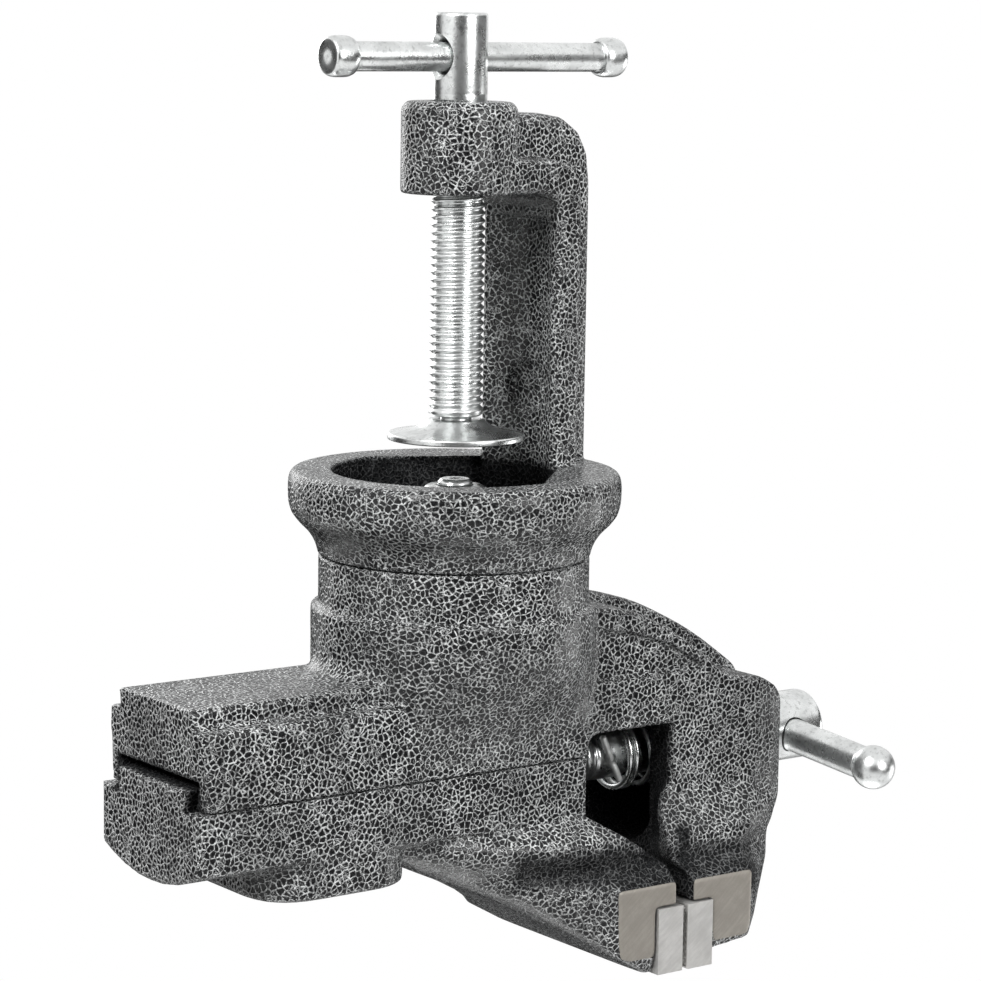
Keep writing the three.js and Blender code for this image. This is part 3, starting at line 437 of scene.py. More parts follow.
def hammered_enamel(finish):
    """Dark enamel dimples in a silver network, over cast iron; the jaws' ends are ground bare.

    The network is where the edge of a cell is near, in cells bent by a slow noise. Some cells are split
    by the edges of smaller ones, and broad patches of thick paint dull the network. Painted shade leaves
    7% of the network's colour and of the gloss in cavities, and darkens slopes in shadow by a share.
    """
    casting, steel = settings("vise_casting"), settings("vise_steel")
    skin = finish.node("ShaderNodeAttribute", out=1, options={"attribute_name": "skin"})
    bend = finish.noise(620.0, 2.0, 0.5, out=1)
    shift = finish.node("ShaderNodeVectorMath", options={"operation": "SCALE"}, i0=bend, Scale=0.9 * MM)
    place = finish.node("ShaderNodeVectorMath", options={"operation": "ADD"}, i0=skin, i1=shift)
    cells = {"feature": "DISTANCE_TO_EDGE", "voronoi_dimensions": "2D"}
    edge, small = (finish.node("ShaderNodeTexVoronoi", options=cells, Vector=place,
                               Scale=count / casting.cell, Randomness=1.0) for count in (1.0, 2.1))
    fine = finish.noise(2600.0, 3.0, 0.6)
    slow = finish.noise(330.0, 2.0)
    width = finish.math("MULTIPLY_ADD", fine, 0.20, finish.remap(slow, 0.3, 0.7, -0.08, 0.0))
    wide = finish.remap(finish.math("SUBTRACT", edge, width), 0.0, 0.08, 1.0, 0.0)
    split = finish.math("MULTIPLY", finish.remap(small, 0.03, 0.10, 0.9, 0.0),
                        finish.remap(finish.noise(420.0, 3.0, 0.6), 0.52, 0.60))
    thick = finish.remap(finish.noise(55.0, 3.0, 0.55), 0.38, 0.62, 0.68, 1.0)
    network = finish.math("MULTIPLY", finish.math("MAXIMUM", wide, split), thick)
    paint = finish.blend(finish.remap(fine, 0.4, 0.7), rgba(casting.dark, 0.5), rgba(casting.dark, 4.0))
    silver = finish.blend(finish.remap(finish.noise(1500.0, 3.0, 0.7), 0.35, 0.65),
                          rgba(casting.light, 0.3), rgba(casting.light, 1.75))
    # Painted shade: the casting's shade attribute takes the network's colour and the gloss down to 7% in
    # cavities and recesses, and by a share on slopes in shadow
    painted_shade = finish.node("ShaderNodeAttribute", out=2, options={"attribute_name": "painted_shade"})
    lit = finish.math("MULTIPLY_ADD", painted_shade, -0.93, 1.0)
    enamel = finish.blend(finish.math("MULTIPLY", network, lit), paint, silver)
    across = finish.node("ShaderNodeSeparateXYZ", out=1, Vector=finish.place)
    height = finish.node("ShaderNodeSeparateXYZ", out=2, Vector=finish.place)
    outward = finish.math("MULTIPLY_ADD", fine, 0.12 * MM, finish.math("ABSOLUTE", across))
    bare = finish.math("MULTIPLY", finish.remap(outward, BARE_FROM * MM, (BARE_FROM + BARE_FADE) * MM),
                       finish.math("GREATER_THAN", height, BARE_ABOVE * MM))
    iron, marks = scratched(finish, steel.ground, 42, 0.10)
    ridge = finish.remap(edge, 0.0, 0.22, 1.0, 0.0)
    relief = finish.math("MULTIPLY", ridge, finish.math("SUBTRACT", 1.0, bare))
    lumps = finish.bump(finish.noise(110.0, 3.0, 0.6), 0.5 * MM, 0.3)
    sparkle = finish.bump(fine, 0.05 * MM, 0.8, lumps)
    grain = finish.bump(relief, 0.17 * MM, 1.0, sparkle)
    edge_on = finish.node("ShaderNodeLayerWeight", out=1, Blend=0.5)
    gloss = finish.remap(edge_on, 0.45, 0.9, 0.30, 0.04)
    finish.set(Base_Color=finish.blend(bare, enamel, iron),
               Metallic=finish.math("MULTIPLY", bare, 0.45),
               Roughness=finish.remap(bare, 0.0, 1.0, 0.2, 0.5, smooth=False),
               Specular_IOR_Level=finish.math("MULTIPLY", lit, gloss),
               Normal=grain)
    return finish.material


def zinc_plate(finish):
    """Bright zinc plate: metal with cloudy passivation, fine specks and a slight grain."""
    colour = settings("vise_steel").zinc
    clouds = finish.noise(160.0, 5.0, 0.62)
    specks = finish.noise(900.0, 5.0, 0.7)
    share = finish.math("ADD", finish.remap(clouds, 0.3, 0.72, 0.0, 0.6),
                        finish.remap(specks, 0.5, 0.68, 0.0, 0.6))
    tone = finish.blend(share, rgba(colour, 1.12), rgba(colour, 0.62))
    finish.set(Base_Color=tone, Metallic=1.0, Roughness=finish.remap(clouds, 0.2, 0.8, 0.2, 0.38),
               Normal=finish.bump(finish.noise(1500.0, 4.0, 0.65), 0.06 * MM, 0.5))
    return finish.material


def dull_zinc(finish):
    """Plain zinc-plated wire of the split pin: pale and half matt, with faint spots."""
    clouds = finish.noise(700.0, 4.0, 0.65)
    tone = finish.blend(finish.remap(clouds, 0.3, 0.7), rgba((0.78, 0.79, 0.78)), rgba((0.55, 0.56, 0.55)))
    finish.set(Base_Color=tone, Metallic=0.55, Roughness=finish.remap(clouds, 0.2, 0.8, 0.4, 0.55),
               Normal=finish.bump(clouds, 0.04 * MM, 0.4))
    return finish.material


def jaw_steel(finish):
    """Ground jaw plate: pale steel with fine slanting scratches."""
    tone, marks = scratched(finish, settings("vise_steel").plate, 38, 0.08)
    finish.set(Base_Color=tone, Metallic=0.4, Roughness=finish.remap(marks, 0.0, 1.0, 0.34, 0.5),
               Normal=finish.bump(marks, 0.02 * MM, 0.5))
    return finish.material


def oiled_steel(finish):
    """Dark oiled steel of the plate screws and the lead nut."""
    clouds = finish.noise(300.0, 4.0, 0.6)
    tone = finish.blend(clouds, rgba((0.05, 0.048, 0.046)), rgba((0.14, 0.135, 0.13)))
    finish.set(Base_Color=tone, Metallic=0.9, Roughness=finish.remap(clouds, 0.3, 0.7, 0.3, 0.5),
               Normal=finish.bump(finish.noise(1500.0), 0.03 * MM, 0.4))
    return finish.material


# Material and its maker, by the name of the finish
FINISHES = {"hammered_enamel": ("vise_enamel", hammered_enamel), "zinc_plate": ("vise_zinc", zinc_plate),
            "dull_zinc": ("vise_dull_zinc", dull_zinc), "ground_steel": ("vise_jaw_steel", jaw_steel),
            "dark_steel": ("vise_oiled_steel", oiled_steel)}


def finished(made, slot, body=None, replaces=()):
    """Gives a piece the finish of a slot, its body, and the frame's nodes that it stands for.

    The dull zinc of the split pin is a finish of its own.
    """
    name, maker = FINISHES[slot]
    material = bpy.data.materials.get(name) or maker(Finish(name))
    made.data.materials.clear()
    made.data.materials.append(material)
    if body:
        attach(made, body)
    if replaces:
        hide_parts(*replaces)
    return made


# Pieces

def lay_skin(mesh):
    """Flat coordinates for the enamel's cells, kept as the corner attribute skin.

    Each face takes the nearest of 13 view directions d to its normal, and its corners p get the
    coordinates (p . a, p . b) in the plane of d, so no cell is drawn out by more than a tenth or so.
    The patterns of two directions lie apart, so they don't mirror each other.
    """
    count = len(mesh.polygons)
    normals, corners = np.empty(count * 3), np.empty(len(mesh.loops), int)
    points = np.empty(len(mesh.vertices) * 3)
    mesh.polygons.foreach_get("normal", normals)
    mesh.loops.foreach_get("vertex_index", corners)
    mesh.vertices.foreach_get("co", points)
    sizes = np.empty(count, int)
    mesh.polygons.foreach_get("loop_total", sizes)
    ways = np.array([(x, y, z) for x in (-1, 0, 1) for y in (-1, 0, 1) for z in (-1, 0, 1)
                     if (x, y, z) > (0, 0, 0)], float)
    ways /= np.linalg.norm(ways, axis=1)[:, None]
    chosen = np.abs(normals.reshape(-1, 3) @ ways.T).argmax(1)
    slanting = (0.31, 0.52, 0.80)
    first = np.cross(ways, slanting)
    first /= np.linalg.norm(first, axis=1)[:, None]
    second = np.cross(ways, first)
    way = np.repeat(chosen, sizes)
    place = points.reshape(-1, 3)[corners]
    apart = 0.37
    skin = np.stack([(place * first[way]).sum(1) + way * apart, (place * second[way]).sum(1),
                     np.zeros(len(way))], axis=-1)
    mesh.attributes.new("skin", "FLOAT_VECTOR", "CORNER").data.foreach_set("vector", skin.ravel())


def lay_painted_shade(mesh, shade_places):
    """Vertex attribute of painted shade: 1 inside the boxes of a casting's cavities, fading out over 1.2 mm
    outside.

    A box is (low corner, high corner); a cavity about the swivel axis is (radius, low, high). A box
    with a share and a fade length is a slope in shadow, where painted shade darkens the network by
    that share.
    """
    points = np.empty(len(mesh.vertices) * 3)
    mesh.vertices.foreach_get("co", points)
    x, y, z = points.reshape(-1, 3).T / MM
    inside = np.zeros(len(x))
    for low, high, *more in shade_places:
        share, fade = more if len(more) == 2 else (1.0, 1.2)
        if len(more) == 1:
            out = np.maximum(np.hypot(x, y) - low, np.maximum(high - z, z - more[0]))
        else:
            out = np.max([np.maximum(a - p, p - b) for a, b, p in zip(low, high, (x, y, z))], axis=0)
        inside = np.maximum(inside, share * np.clip(1 - out / fade, 0, 1))
    mesh.attributes.new("painted_shade", "FLOAT", "POINT").data.foreach_set("value", inside)


def casting(name, node, body, planes, shade_places):
    """Cast piece: the frame's solid, merged, remeshed finely, its edges softened by smoothing.

    The smoothing fades in from 0.5 to 1.5 mm away from the level parting planes, in eighths, and flat
    areas are thinned out.
    """
    look = settings("vise_casting")
    source = bmesh.new()
    source.from_mesh(NODES[node].data)
    bmesh.ops.remove_doubles(source, verts=source.verts, dist=0.002 * MM)
    mesh = bpy.data.meshes.new(name)
    source.to_mesh(mesh)
    source.free()
    made = bpy.data.objects.new(name, mesh)
    bpy.context.scene.collection.objects.link(made)
    skin = made.modifiers.new("Skin", "REMESH")
    skin.mode, skin.voxel_size = "VOXEL", look.grain
    settle(made)
    heights = np.empty(len(made.data.vertices) * 3)
    made.data.vertices.foreach_get("co", heights)
    away = np.min([np.abs(heights[2::3] / MM - plane) for plane in planes], axis=0)
    group = made.vertex_groups.new(name="soft")
    levels = 8
    steps = np.clip(np.round((away - 0.5) * levels), 0, levels).astype(int)
    for step in range(1, levels + 1):
        group.add(np.flatnonzero(steps == step).tolist(), step / levels, "REPLACE")
    soft = made.modifiers.new("Soft", "SMOOTH")
    soft.factor, soft.iterations, soft.vertex_group = 0.5, look.softening, "soft"
    thin = made.modifiers.new("Thin", "DECIMATE")
    thin.ratio = min(1.0, look.triangles / 2 / len(made.data.polygons))
    settle(made)
    lay_skin(made.data)
    # Painted shade of the cavities and of the slopes in shadow, kept on the vertices
    lay_painted_shade(made.data, shade_places)
    return finished(made, "hammered_enamel", body, [node])


class VISE_OT_castings(bpy.types.Operator):
    """Clamp base, vise body and slide, in hammered enamel with ground jaw ends"""
    bl_idname = "bench_vise.castings"
    bl_label = "Castings"

    def execute(self, context):
        casting("clamp_base_casting", "clamp_base", "clamp", PIVOT_PLANES, CUP_SHADE)
        casting("vise_body_casting", "vise_body", "vise", PIVOT_PLANES + SLIDE_PLANES, BODY_SHADE)
        casting("slide_casting", "slide_jaw", "slide", SLIDE_PLANES, SLIDE_SHADE)
        return {"FINISHED"}


def zinc_turned(name, profile, sides, body, node, **place):
    """Turned piece in zinc plate, for bars and knobs."""
    return finished(turned(name, profile, sides, **place), "zinc_plate", body, [node])


def thread_sizes():
    """Pitch and depth of the two large screws' threads, in millimetres."""
    steel = settings("vise_steel")
    return steel.pitch / MM, steel.thread_depth / MM


def pad_piece(name, sides=96):
    """Loose pad: a closed ring surface of its outer profile and the socket that holds the screw's ball."""
    mouth = np.radians(np.linspace(-9, 0, 4))
    socket = [(PAD_SOCKET * math.cos(a), CLAMP_BALL_Z + PAD_SOCKET * math.sin(a)) for a in mouth]
    profile = np.concatenate([socket, rounded(PAD_OUTSIDE)])[::-1]
    rings = revolved(profile[:, 0], profile[:, 1], sides)
    column = np.arange(sides)
    following = (column + 1) % sides
    last = (len(rings) - 1) * sides
    close = np.stack([last + column, last + following, following, column], axis=-1)
    faces = [*grid_faces(len(rings), sides, True).tolist(), *close.tolist()]
    return mesh_object(name, rings.reshape(-1, 3), faces)


class VISE_OT_clamp_screw(bpy.types.Operator):
    """Clamp screw with its hub, ball end and cross hole, tommy bar, knobs and loose pad"""
    bl_idname = "bench_vise.clamp_screw"
    bl_label = "Clamp screw"

    def execute(self, context):
        low, high = CLAMP_THREAD
        angle = np.radians(np.linspace(-21, 80, 12))
        ball = [(CLAMP_BALL * math.cos(a), CLAMP_BALL_Z + CLAMP_BALL * math.sin(a), 0) for a in angle]
        tail = [(0, low - 1.5, 0), (CLAMP_RADIUS, low - 1.5, 0.2), (CLAMP_RADIUS, low - 0.1, 0)]
        neck = [(CLAMP_RADIUS, high + 0.1, 0), (5.3, high + 0.7, 0.2), (3.3, high + 0.75, 0.1)]
        tip = (0, CLAMP_BALL_Z + CLAMP_BALL - 0.02, 0)
        screw = threaded("clamp_screw_thread", (tail, [*neck, *ball, tip]), CLAMP_RADIUS, *thread_sizes(),
                         CLAMP_THREAD)
        finished(screw, "zinc_plate", "hold_screw", ["clamp_screw"])
        hub = turned("clamp_screw_hub", rounded(CLAMP_HUB), 96)
        hole = turned("hole", rounded(CLAMP_HUB_HOLE), 64, place=(0, 0, CLAMP_BAR_Z), axis="X")
        finished(drill(hub, hole), "zinc_plate", "hold_screw", ["clamp_screw"])
        rod = cylinder(CLAMP_BAR_RADIUS, -CLAMP_BAR_HALF, CLAMP_BAR_HALF, BAR_EASE)
        zinc_turned("clamp_bar", rod, 56, "hold_bar", "clamp_tommy_bar",
                    place=(CLAMP_BAR_SHIFT, 0, CLAMP_BAR_Z), axis="X")
        for side, end, axis in (("left", -1, "-X"), ("right", 1, "X")):
            place = (CLAMP_BAR_SHIFT + end * CLAMP_KNOB_PLACE, 0, CLAMP_BAR_Z)
            zinc_turned(f"clamp_knob_{side}", rounded(CLAMP_KNOB), 56, "hold_bar", f"clamp_bar_knob_{side}",
                        place=place, axis=axis)
        finished(pad_piece("clamp_pad_disc"), "zinc_plate", "pad", ["clamp_pad"])
        return {"FINISHED"}


class VISE_OT_main_screw(bpy.types.Operator):
    """Main screw with its thread, hub and cross hole, tommy bar and ball knobs"""
    bl_idname = "bench_vise.main_screw"
    bl_label = "Main screw"

    def execute(self, context):
        low, high = MAIN_THREAD
        along = {"place": (0, 0, SCREW_HEIGHT), "axis": "X", "roll": SCREW_ROLL}
        across = {"axis": "Y", "roll": SCREW_ROLL}
        at_pin, at_bar = (SPLIT_PIN_X, 0, SCREW_HEIGHT), (MAIN_BAR_X, 0, SCREW_HEIGHT)
        tail = [(0, low - 1.1, 0), (MAIN_RADIUS - 1, low - 1.1, 0.2), (MAIN_RADIUS, low - 0.1, 0)]
        shank_end = MAIN_HUB_START + 0.1
        shank = [(MAIN_RADIUS, high + 0.1, 0.1), (MAIN_RADIUS, shank_end, 0), (0, shank_end, 0)]
        screw = threaded("main_screw_thread", (tail, shank), MAIN_RADIUS, *thread_sizes(), MAIN_THREAD,
                         **along)
        hole = turned("hole", cylinder(SPLIT_PIN_HOLE, -8, 8), 40, place=at_pin, **across)
        finished(drill(screw, hole), "zinc_plate", "lead_screw", ["main_screw"])
        hub = turned("main_screw_hub", rounded(MAIN_HUB), 120, **along)
        hole = turned("hole", cylinder(MAIN_BAR_HOLE, -12, 12), 64, place=at_bar, **across)
        finished(drill(hub, hole), "zinc_plate", "lead_screw", ["main_screw"])
        rod = cylinder(MAIN_BAR_RADIUS, -MAIN_BAR_HALF, MAIN_BAR_HALF, BAR_EASE)
        zinc_turned("main_bar", rod, 56, "lead_bar", "main_tommy_bar", place=at_bar, **across)
        angle = np.radians(np.linspace(-44, 90, 26))
        ball = np.stack([MAIN_BALL * np.cos(angle), MAIN_BALL_SEAT + MAIN_BALL * np.sin(angle)], axis=-1)
        flat_middle = (0, 0.33)
        profile = np.concatenate([[flat_middle], ball])
        tilt = math.radians(SCREW_ROLL)
        for side, end, axis in (("left", -1, "-Y"), ("right", 1, "Y")):
            seat = end * MAIN_KNOB_PLACE
            place = (MAIN_BAR_X, seat * math.cos(tilt), SCREW_HEIGHT + seat * math.sin(tilt))
            zinc_turned(f"main_knob_{side}", profile, 64, "lead_bar", f"main_bar_knob_{side}",
                        place=place, axis=axis, roll=SCREW_ROLL)
        return {"FINISHED"}


def spring_piece(name, **place):
    """Helix about X whose pitch is the close one for the first and last turns, and open between them."""
    turns, wire, radius, start, length = 7, 0.75, 8.4, 44.7, 27.2
    close_pitch, close_turns = 1.95, 1.25
    loose = turns - 2 * close_turns
    pitch = (length - 2 * wire - 2 * close_pitch * close_turns) / loose
    u = np.linspace(0, turns, turns * 40 + 1)
    x = (start + wire + close_pitch * (np.minimum(u, close_turns) + np.maximum(0, u - close_turns - loose))
         + pitch * np.clip(u - close_turns, 0, loose))
    angle = u * TURN - math.radians(60)
    path = np.stack([x, radius * np.cos(angle), radius * np.sin(angle)], axis=-1)
    return swept(name, path, path * (0, 1, 1), wire, 16, **place)


def pin_piece(name, **place):
    """Split pin: one wire down a leg and back up its mirror image, leaning, with its tips bent apart.

    A leg's knots are shares of the side and of the reach, from its bent tip to the eye.
    """
    wire, side, reach, lean = 0.8, 0.95, 7.1, math.radians(28)
    near_tip, far_tip = 5.3, -7.4
    shares = np.array([(6.1, 1.0), (2.6, 1.0), (1.5, 0.97), (1, 0.88), (1, 0), (1, -0.86), (1.7, -1.0),
                       (1.9, -1.14), (1.2, -1.27)])
    leg = np.stack([np.zeros(len(shares)), shares[:, 1] * reach, shares[:, 0] * side], axis=-1)
    other = leg[::-1] * (1, 1, -1)
    leg[0, 2], other[-1, 2] = near_tip, far_tip
    line = spline(np.concatenate([leg, other]), 8)
    turn = np.array([[math.cos(lean), 0, math.sin(lean)], [0, 1, 0], [-math.sin(lean), 0, math.cos(lean)]])
    across = np.repeat([[1.0, 0, 0]], len(line), 0)
    return swept(name, line @ turn.T, across @ turn.T, wire, 16, **place)


class VISE_OT_thrust_parts(bpy.types.Operator):
    """Thrust spring, split pin and washer round the main screw"""
    bl_idname = "bench_vise.thrust_parts"
    bl_label = "Spring, pin and washer"

    def execute(self, context):
        spring = spring_piece("spring_coil", place=(0, 0, SCREW_HEIGHT), roll=SCREW_ROLL)
        finished(spring, "zinc_plate", "lead_screw", ["thrust_spring"])
        pin = pin_piece("split_pin_wire", place=(SPLIT_PIN_X, 0, SCREW_HEIGHT), roll=SCREW_ROLL)
        finished(pin, "dull_zinc", "lead_screw", ["split_pin"])
        finished(NODES["wall_washer"], "zinc_plate")
        return {"FINISHED"}


def grip_plate(name, side):
    """Jaw plate: its grip face is the height field depth(y, z), crossed V grooves of one tooth's width
    with a cone let in for each screw; the other five sides are plain.

    The grooves fade in from the margin inward, and the face's edge is eased. A cone deepens inward
    from its radius at the depth of the lip down to the deepest level.
    """
    groove, steepness, margin, fade_width = 0.32, 1.25, 0.5, 0.4
    ease, ease_width = 0.18, 0.3
    lip, cone, seat, deepest = 0.6, 5.1, 5.15, 3.0
    tooth = settings("vise_steel").tooth / MM
    y = np.linspace(-PLATE_HALF_WIDTH, PLATE_HALF_WIDTH, 305)
    z = np.linspace(PLATE_LOW, PLATE_HIGH, 78)
    Y, Z = np.meshgrid(y, z, indexing="ij")
    wave = lambda t: np.abs((t / tooth) % 1 - 0.5) * 2
    depth = groove * np.minimum(1, steepness * np.maximum(1 - wave(Y + Z), 1 - wave(Y - Z)))
    border = np.minimum(np.minimum(PLATE_HALF_WIDTH - np.abs(Y), Z - PLATE_LOW), PLATE_HIGH - Z)
    depth = (depth * np.clip((border - margin) / fade_width, 0, 1)
             + ease * (1 - np.clip(border / ease_width, 0, 1)))
    for place in (-PLATE_SCREW_Y, PLATE_SCREW_Y):
        r = np.hypot(Y - place, Z - PLATE_SCREW_Z)
        depth = np.where(r < seat, np.clip(lip + cone - r, lip, deepest), depth)
    X = JAW_MIDDLE + side * (PLATE_GAP / 2 + depth)
    face = np.stack([X, Y, Z], axis=-1)
    back = face.copy()
    back[..., 0] = JAW_MIDDLE + side * (PLATE_GAP / 2 + PLATE_THICK)
    ring = lambda g: np.concatenate([g[:-1, 0], g[-1, :-1], g[:0:-1, -1], g[0, :0:-1]])
    rows, columns = Y.shape
    number = np.arange(rows * columns).reshape(rows, columns)
    edge, rim = ring(number), ring(back)
    points = np.concatenate([face.reshape(-1, 3), rim])
    behind = rows * columns + np.arange(len(rim))
    sides = np.stack([edge, np.roll(edge, -1), np.roll(behind, -1), behind], axis=-1)
    front = grid_faces(rows, columns, False)[:, ::-1]
    faces = [*front.tolist(), *sides[:, ::-1].tolist(), behind[::-1].tolist()]
    if side > 0:
        faces = [f[::-1] for f in faces]
    return mesh_object(name, points, faces, False)


def plate_screw(name, place, side):
    """Countersunk screw with a slot: its top is a disc whose height drops inside the slot's width."""
    sides, level, half_slot, slot_depth, slot_fade = 64, 0.62, 0.65, 1.1, 0.12
    across = (0.9, 0.436)
    bevel_start, bevel_width, bevel_depth = 4.3, 0.4, 0.12
    radii = np.concatenate([np.linspace(0.02, 4.6, 24), [4.75]])
    disc = revolved(radii, np.full(len(radii), level), sides)
    beside = np.abs(disc[..., 0] * across[0] + disc[..., 1] * across[1])
    slot = np.clip((half_slot - beside) / slot_fade, 0, 1)
    bevel = np.clip((radii[:, None] - bevel_start) / bevel_width, 0, 1)
    disc[..., 2] += slot_depth * slot + bevel_depth * bevel
    rings = np.concatenate([disc, revolved(*np.transpose(PLATE_SCREW_TAIL), sides)])[::-1]
    middle = (JAW_MIDDLE + side * PLATE_GAP / 2, place, PLATE_SCREW_Z)
    return tube(name, placed(rings, place=middle, axis="X" if side > 0 else "-X"))


class VISE_OT_jaw_plates(bpy.types.Operator):
    """Ground jaw plates with their grip teeth and slotted screws"""
    bl_idname = "bench_vise.jaw_plates"
    bl_label = "Jaw plates"

    def execute(self, context):
        for jaw, side, body in (("front", 1, "vise"), ("rear", -1, "slide")):
            finished(grip_plate(f"{jaw}_grip_plate", side), "ground_steel", body, [f"{jaw}_jaw_plate"])
            for end, place in (("left", -1), ("right", 1)):
                made = plate_screw(f"{jaw}_screw_head_{end}", side * place * PLATE_SCREW_Y, side)
                finished(made, "dark_steel", body, [f"{jaw}_plate_screw_{end}"])
        return {"FINISHED"}


def hexagon_piece(name, flats, low, high, chamfer):
    """Hexagonal head: radius flats/2 / cos(turn to the nearest flat), capped near the ends by a cone."""
    sides, slope, early = 96, 1.7, 0.35
    sector = math.pi / 3
    hexed = flats / 2 / np.cos((circle(sides) + sector / 2) % sector - sector / 2)
    heights = np.array([low, low + chamfer * early, low + chamfer,
                        high - chamfer, high - chamfer * early, high])
    fall = np.clip(1 - np.minimum(heights - low, high - heights) / chamfer, 0, 1)
    cone = hexed.max() - fall * chamfer * slope
    r = np.minimum(hexed[None], cone[:, None])
    return crisp(tube(name, revolved(r, heights, sides)), 25)


class VISE_OT_pivot(bpy.types.Operator):
    """Swivel bolt with its head, threaded end, nut and washer"""
    bl_idname = "bench_vise.pivot"
    bl_label = "Swivel bolt"

    def execute(self, context):
        head = hexagon_piece("pivot_bolt_head", NUT_FLATS, *BOLT_HEAD, 0.7)
        finished(head, "zinc_plate", "vise", ["pivot_bolt"])
        low, high = BOLT_THREAD
        tail = [(0, low - 1, 0), (BOLT_RADIUS - 0.8, low - 1, 0.2), (BOLT_RADIUS, low - 0.1, 0)]
        shank_end = BOLT_HEAD[0] + 0.2
        shank = [(BOLT_RADIUS, high + 0.1, 0), (BOLT_RADIUS, shank_end, 0), (0, shank_end, 0)]
        screw = threaded("pivot_bolt_shank", (tail, shank), BOLT_RADIUS, BOLT_PITCH, BOLT_THREAD_DEPTH,
                         BOLT_THREAD)
        finished(screw, "zinc_plate", "vise", ["pivot_bolt"])
        nut = hexagon_piece("pivot_nut_body", NUT_FLATS, *NUT_HEIGHTS, 0.8)
        bore = turned("hole", cylinder(NUT_BORE, 0, 12), 64)
        finished(drill(nut, bore), "zinc_plate", "vise", ["pivot_nut"])
        finished(NODES["pivot_washer"], "zinc_plate")
        finished(NODES["lead_nut"], "dark_steel")
        return {"FINISHED"}


# Studio

def matt(name, grey):
    """Plain matt material of one grey."""
    made = bpy.data.materials.new(name)
    made.use_nodes = True
    paint = made.node_tree.nodes["Principled BSDF"]
    paint.inputs["Base Color"].default_value = (grey, grey, grey, 1)
    paint.inputs["Roughness"].default_value = 0.9
    return made


def lamp(name, place, size, power):
    """Round soft lamp that shines on the middle of the vise."""
    light = bpy.data.lights.new(name, "AREA")
    light.shape, light.size, light.energy = "DISK", size, power
    made = bpy.data.objects.new(name, light)
    made.location = place
    made.rotation_euler = (Vector(VISE_MIDDLE) - Vector(place)).to_track_quat("-Z", "Y").to_euler()
    bpy.context.scene.collection.objects.link(made)


def flag(name, place, width, height):
    """Dark upright card facing the vise, seen only in reflections, as studio flags are."""
    card = mesh_object(name, np.array([(-1, 0, -1), (1, 0, -1), (1, 0, 1), (-1, 0, 1)])
                       * (width / 2 / MM, 1, height / 2 / MM), [(0, 1, 2, 3)], False)
    card.location = place
    card.rotation_euler = (0, 0, math.atan2(place[1], place[0]) - math.pi / 2)
    card.visible_camera = card.visible_diffuse = card.visible_shadow = card.visible_transmission = False
    card.data.materials.append(matt(name, 0.03))


def shown_white(tree, shader, target, to_camera=1.0):
    """White in reflections and, by a share, to the camera; every other ray sees the plain shader."""
    path = tree.nodes.new("ShaderNodeLightPath")
    seen = tree.nodes.new("ShaderNodeMath")
    seen.operation, seen.use_clamp = "MULTIPLY_ADD", True
    seen_too = tree.nodes.new("ShaderNodeMath")
    seen_too.operation, seen_too.use_clamp = "ADD", True
    kind = "ShaderNodeBackground" if target.name == "World Output" else "ShaderNodeEmission"
    white = tree.nodes.new(kind)
    white.inputs["Color"].default_value = (1, 1, 1, 1)
    white.inputs["Strength"].default_value = 1.0
    mix = tree.nodes.new("ShaderNodeMixShader")
    link = tree.links.new
    link(path.outputs["Is Camera Ray"], seen.inputs[0])
    seen.inputs[1].default_value = to_camera
    link(path.outputs["Is Glossy Ray"], seen.inputs[2])
    link(seen.outputs[0], seen_too.inputs[0])
    link(path.outputs["Is Transmission Ray"], seen_too.inputs[1])
    link(seen_too.outputs[0], mix.inputs[0])
    link(shader, mix.inputs[1])
    link(white.outputs[0], mix.inputs[2])
    link(mix.outputs[0], target.inputs["Surface"])


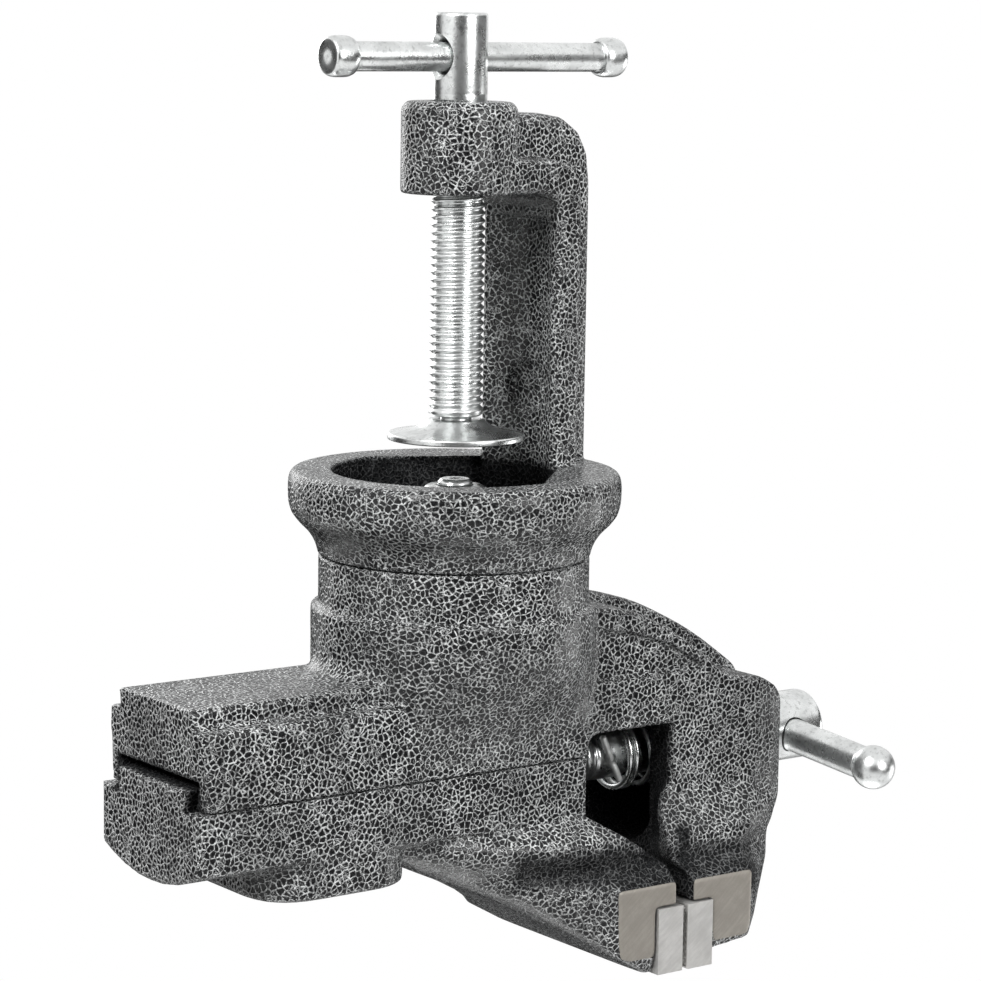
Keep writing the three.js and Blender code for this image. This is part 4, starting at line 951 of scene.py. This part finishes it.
class VISE_OT_studio(bpy.types.Operator):
    """White studio with soft lamps, a pale floor and the camera of the photograph"""
    bl_idname = "bench_vise.studio"
    bl_label = "Studio"

    def execute(self, context):
        look = settings("vise_studio")
        scene = context.scene
        scene.view_settings.view_transform = "Standard"

        a, e, roll = (math.radians(v) for v in (look.azimuth, look.rise, look.roll))
        forward = Vector((math.sin(a) * math.cos(e), -math.cos(a) * math.cos(e), math.sin(e)))
        right = Vector((math.cos(a), math.sin(a), 0))
        up = Vector((math.sin(a) * math.sin(e), -math.cos(a) * math.sin(e), -math.cos(e)))
        side = right * math.cos(roll) + up * math.sin(roll)
        top = up * math.cos(roll) - right * math.sin(roll)
        camera = bpy.data.cameras.new("camera")
        camera.lens, camera.sensor_width = look.lens, 36.0
        camera.clip_start, camera.clip_end = 0.01, 100.0
        made = bpy.data.objects.new("camera", camera)
        axes = Matrix((side, top, -forward)).transposed().to_4x4()
        made.matrix_world = Matrix.Translation(Vector(CAMERA_PLACE) * MM) @ axes
        scene.collection.objects.link(made)
        scene.camera = made

        world = bpy.data.worlds.new("studio")
        world.use_nodes = True
        scene.world = world
        sky = world.node_tree.nodes["Background"]
        sky.inputs["Color"].default_value = (1, 1, 1, 1)
        sky.inputs["Strength"].default_value = WORLD_STRENGTH
        shown_white(world.node_tree, sky.outputs[0], world.node_tree.nodes["World Output"])

        corners = np.array([(-1, -1, 0), (1, -1, 0), (1, 1, 0), (-1, 1, 0)]) * FLOOR_REACH / MM
        floor = mesh_object("floor", corners + (0, 0, look.floor_height / MM), [(0, 1, 2, 3)], False)
        pale = matt("pale_floor", 0.9)
        nodes = pale.node_tree.nodes
        paint = nodes["Principled BSDF"]
        shown_white(pale.node_tree, paint.outputs[0], nodes["Material Output"], FLOOR_WHITE)
        floor.data.materials.append(pale)

        for values in LAMPS:
            lamp(*values)
        for values in FLAGS:
            flag(*values)
        return {"FINISHED"}


class VISE_PT_panel(bpy.types.Panel):
    """Lists the settings and the operators of the vise"""
    bl_idname = "VISE_PT_panel"
    bl_label = "Bench vise"
    bl_space_type = "VIEW_3D"
    bl_region_type = "UI"
    bl_category = "Bench Vise"

    def draw(self, context):
        for group in GROUPS:
            box = self.layout.box()
            for name in GROUPS[group].__annotations__:
                box.prop(getattr(context.scene, group), name)
        for operator in OPERATORS:
            self.layout.operator(operator.bl_idname)


GROUPS = {"vise_casting": CastingSettings, "vise_steel": SteelSettings, "vise_studio": StudioSettings}
OPERATORS = (VISE_OT_studio, VISE_OT_castings, VISE_OT_clamp_screw, VISE_OT_main_screw,
             VISE_OT_thrust_parts, VISE_OT_jaw_plates, VISE_OT_pivot)


def register():
    for made in (*GROUPS.values(), *OPERATORS, VISE_PT_panel):
        bpy.utils.register_class(made)
    for name, made in GROUPS.items():
        setattr(bpy.types.Scene, name, bpy.props.PointerProperty(type=made))


def unregister():
    for name in GROUPS:
        delattr(bpy.types.Scene, name)
    for made in reversed((*GROUPS.values(), *OPERATORS, VISE_PT_panel)):
        bpy.utils.unregister_class(made)


def main():
    register()
    for operator in OPERATORS:
        group, name = operator.bl_idname.split(".")
        getattr(getattr(bpy.ops, group), name)()


if __name__ == "__main__":
    main()
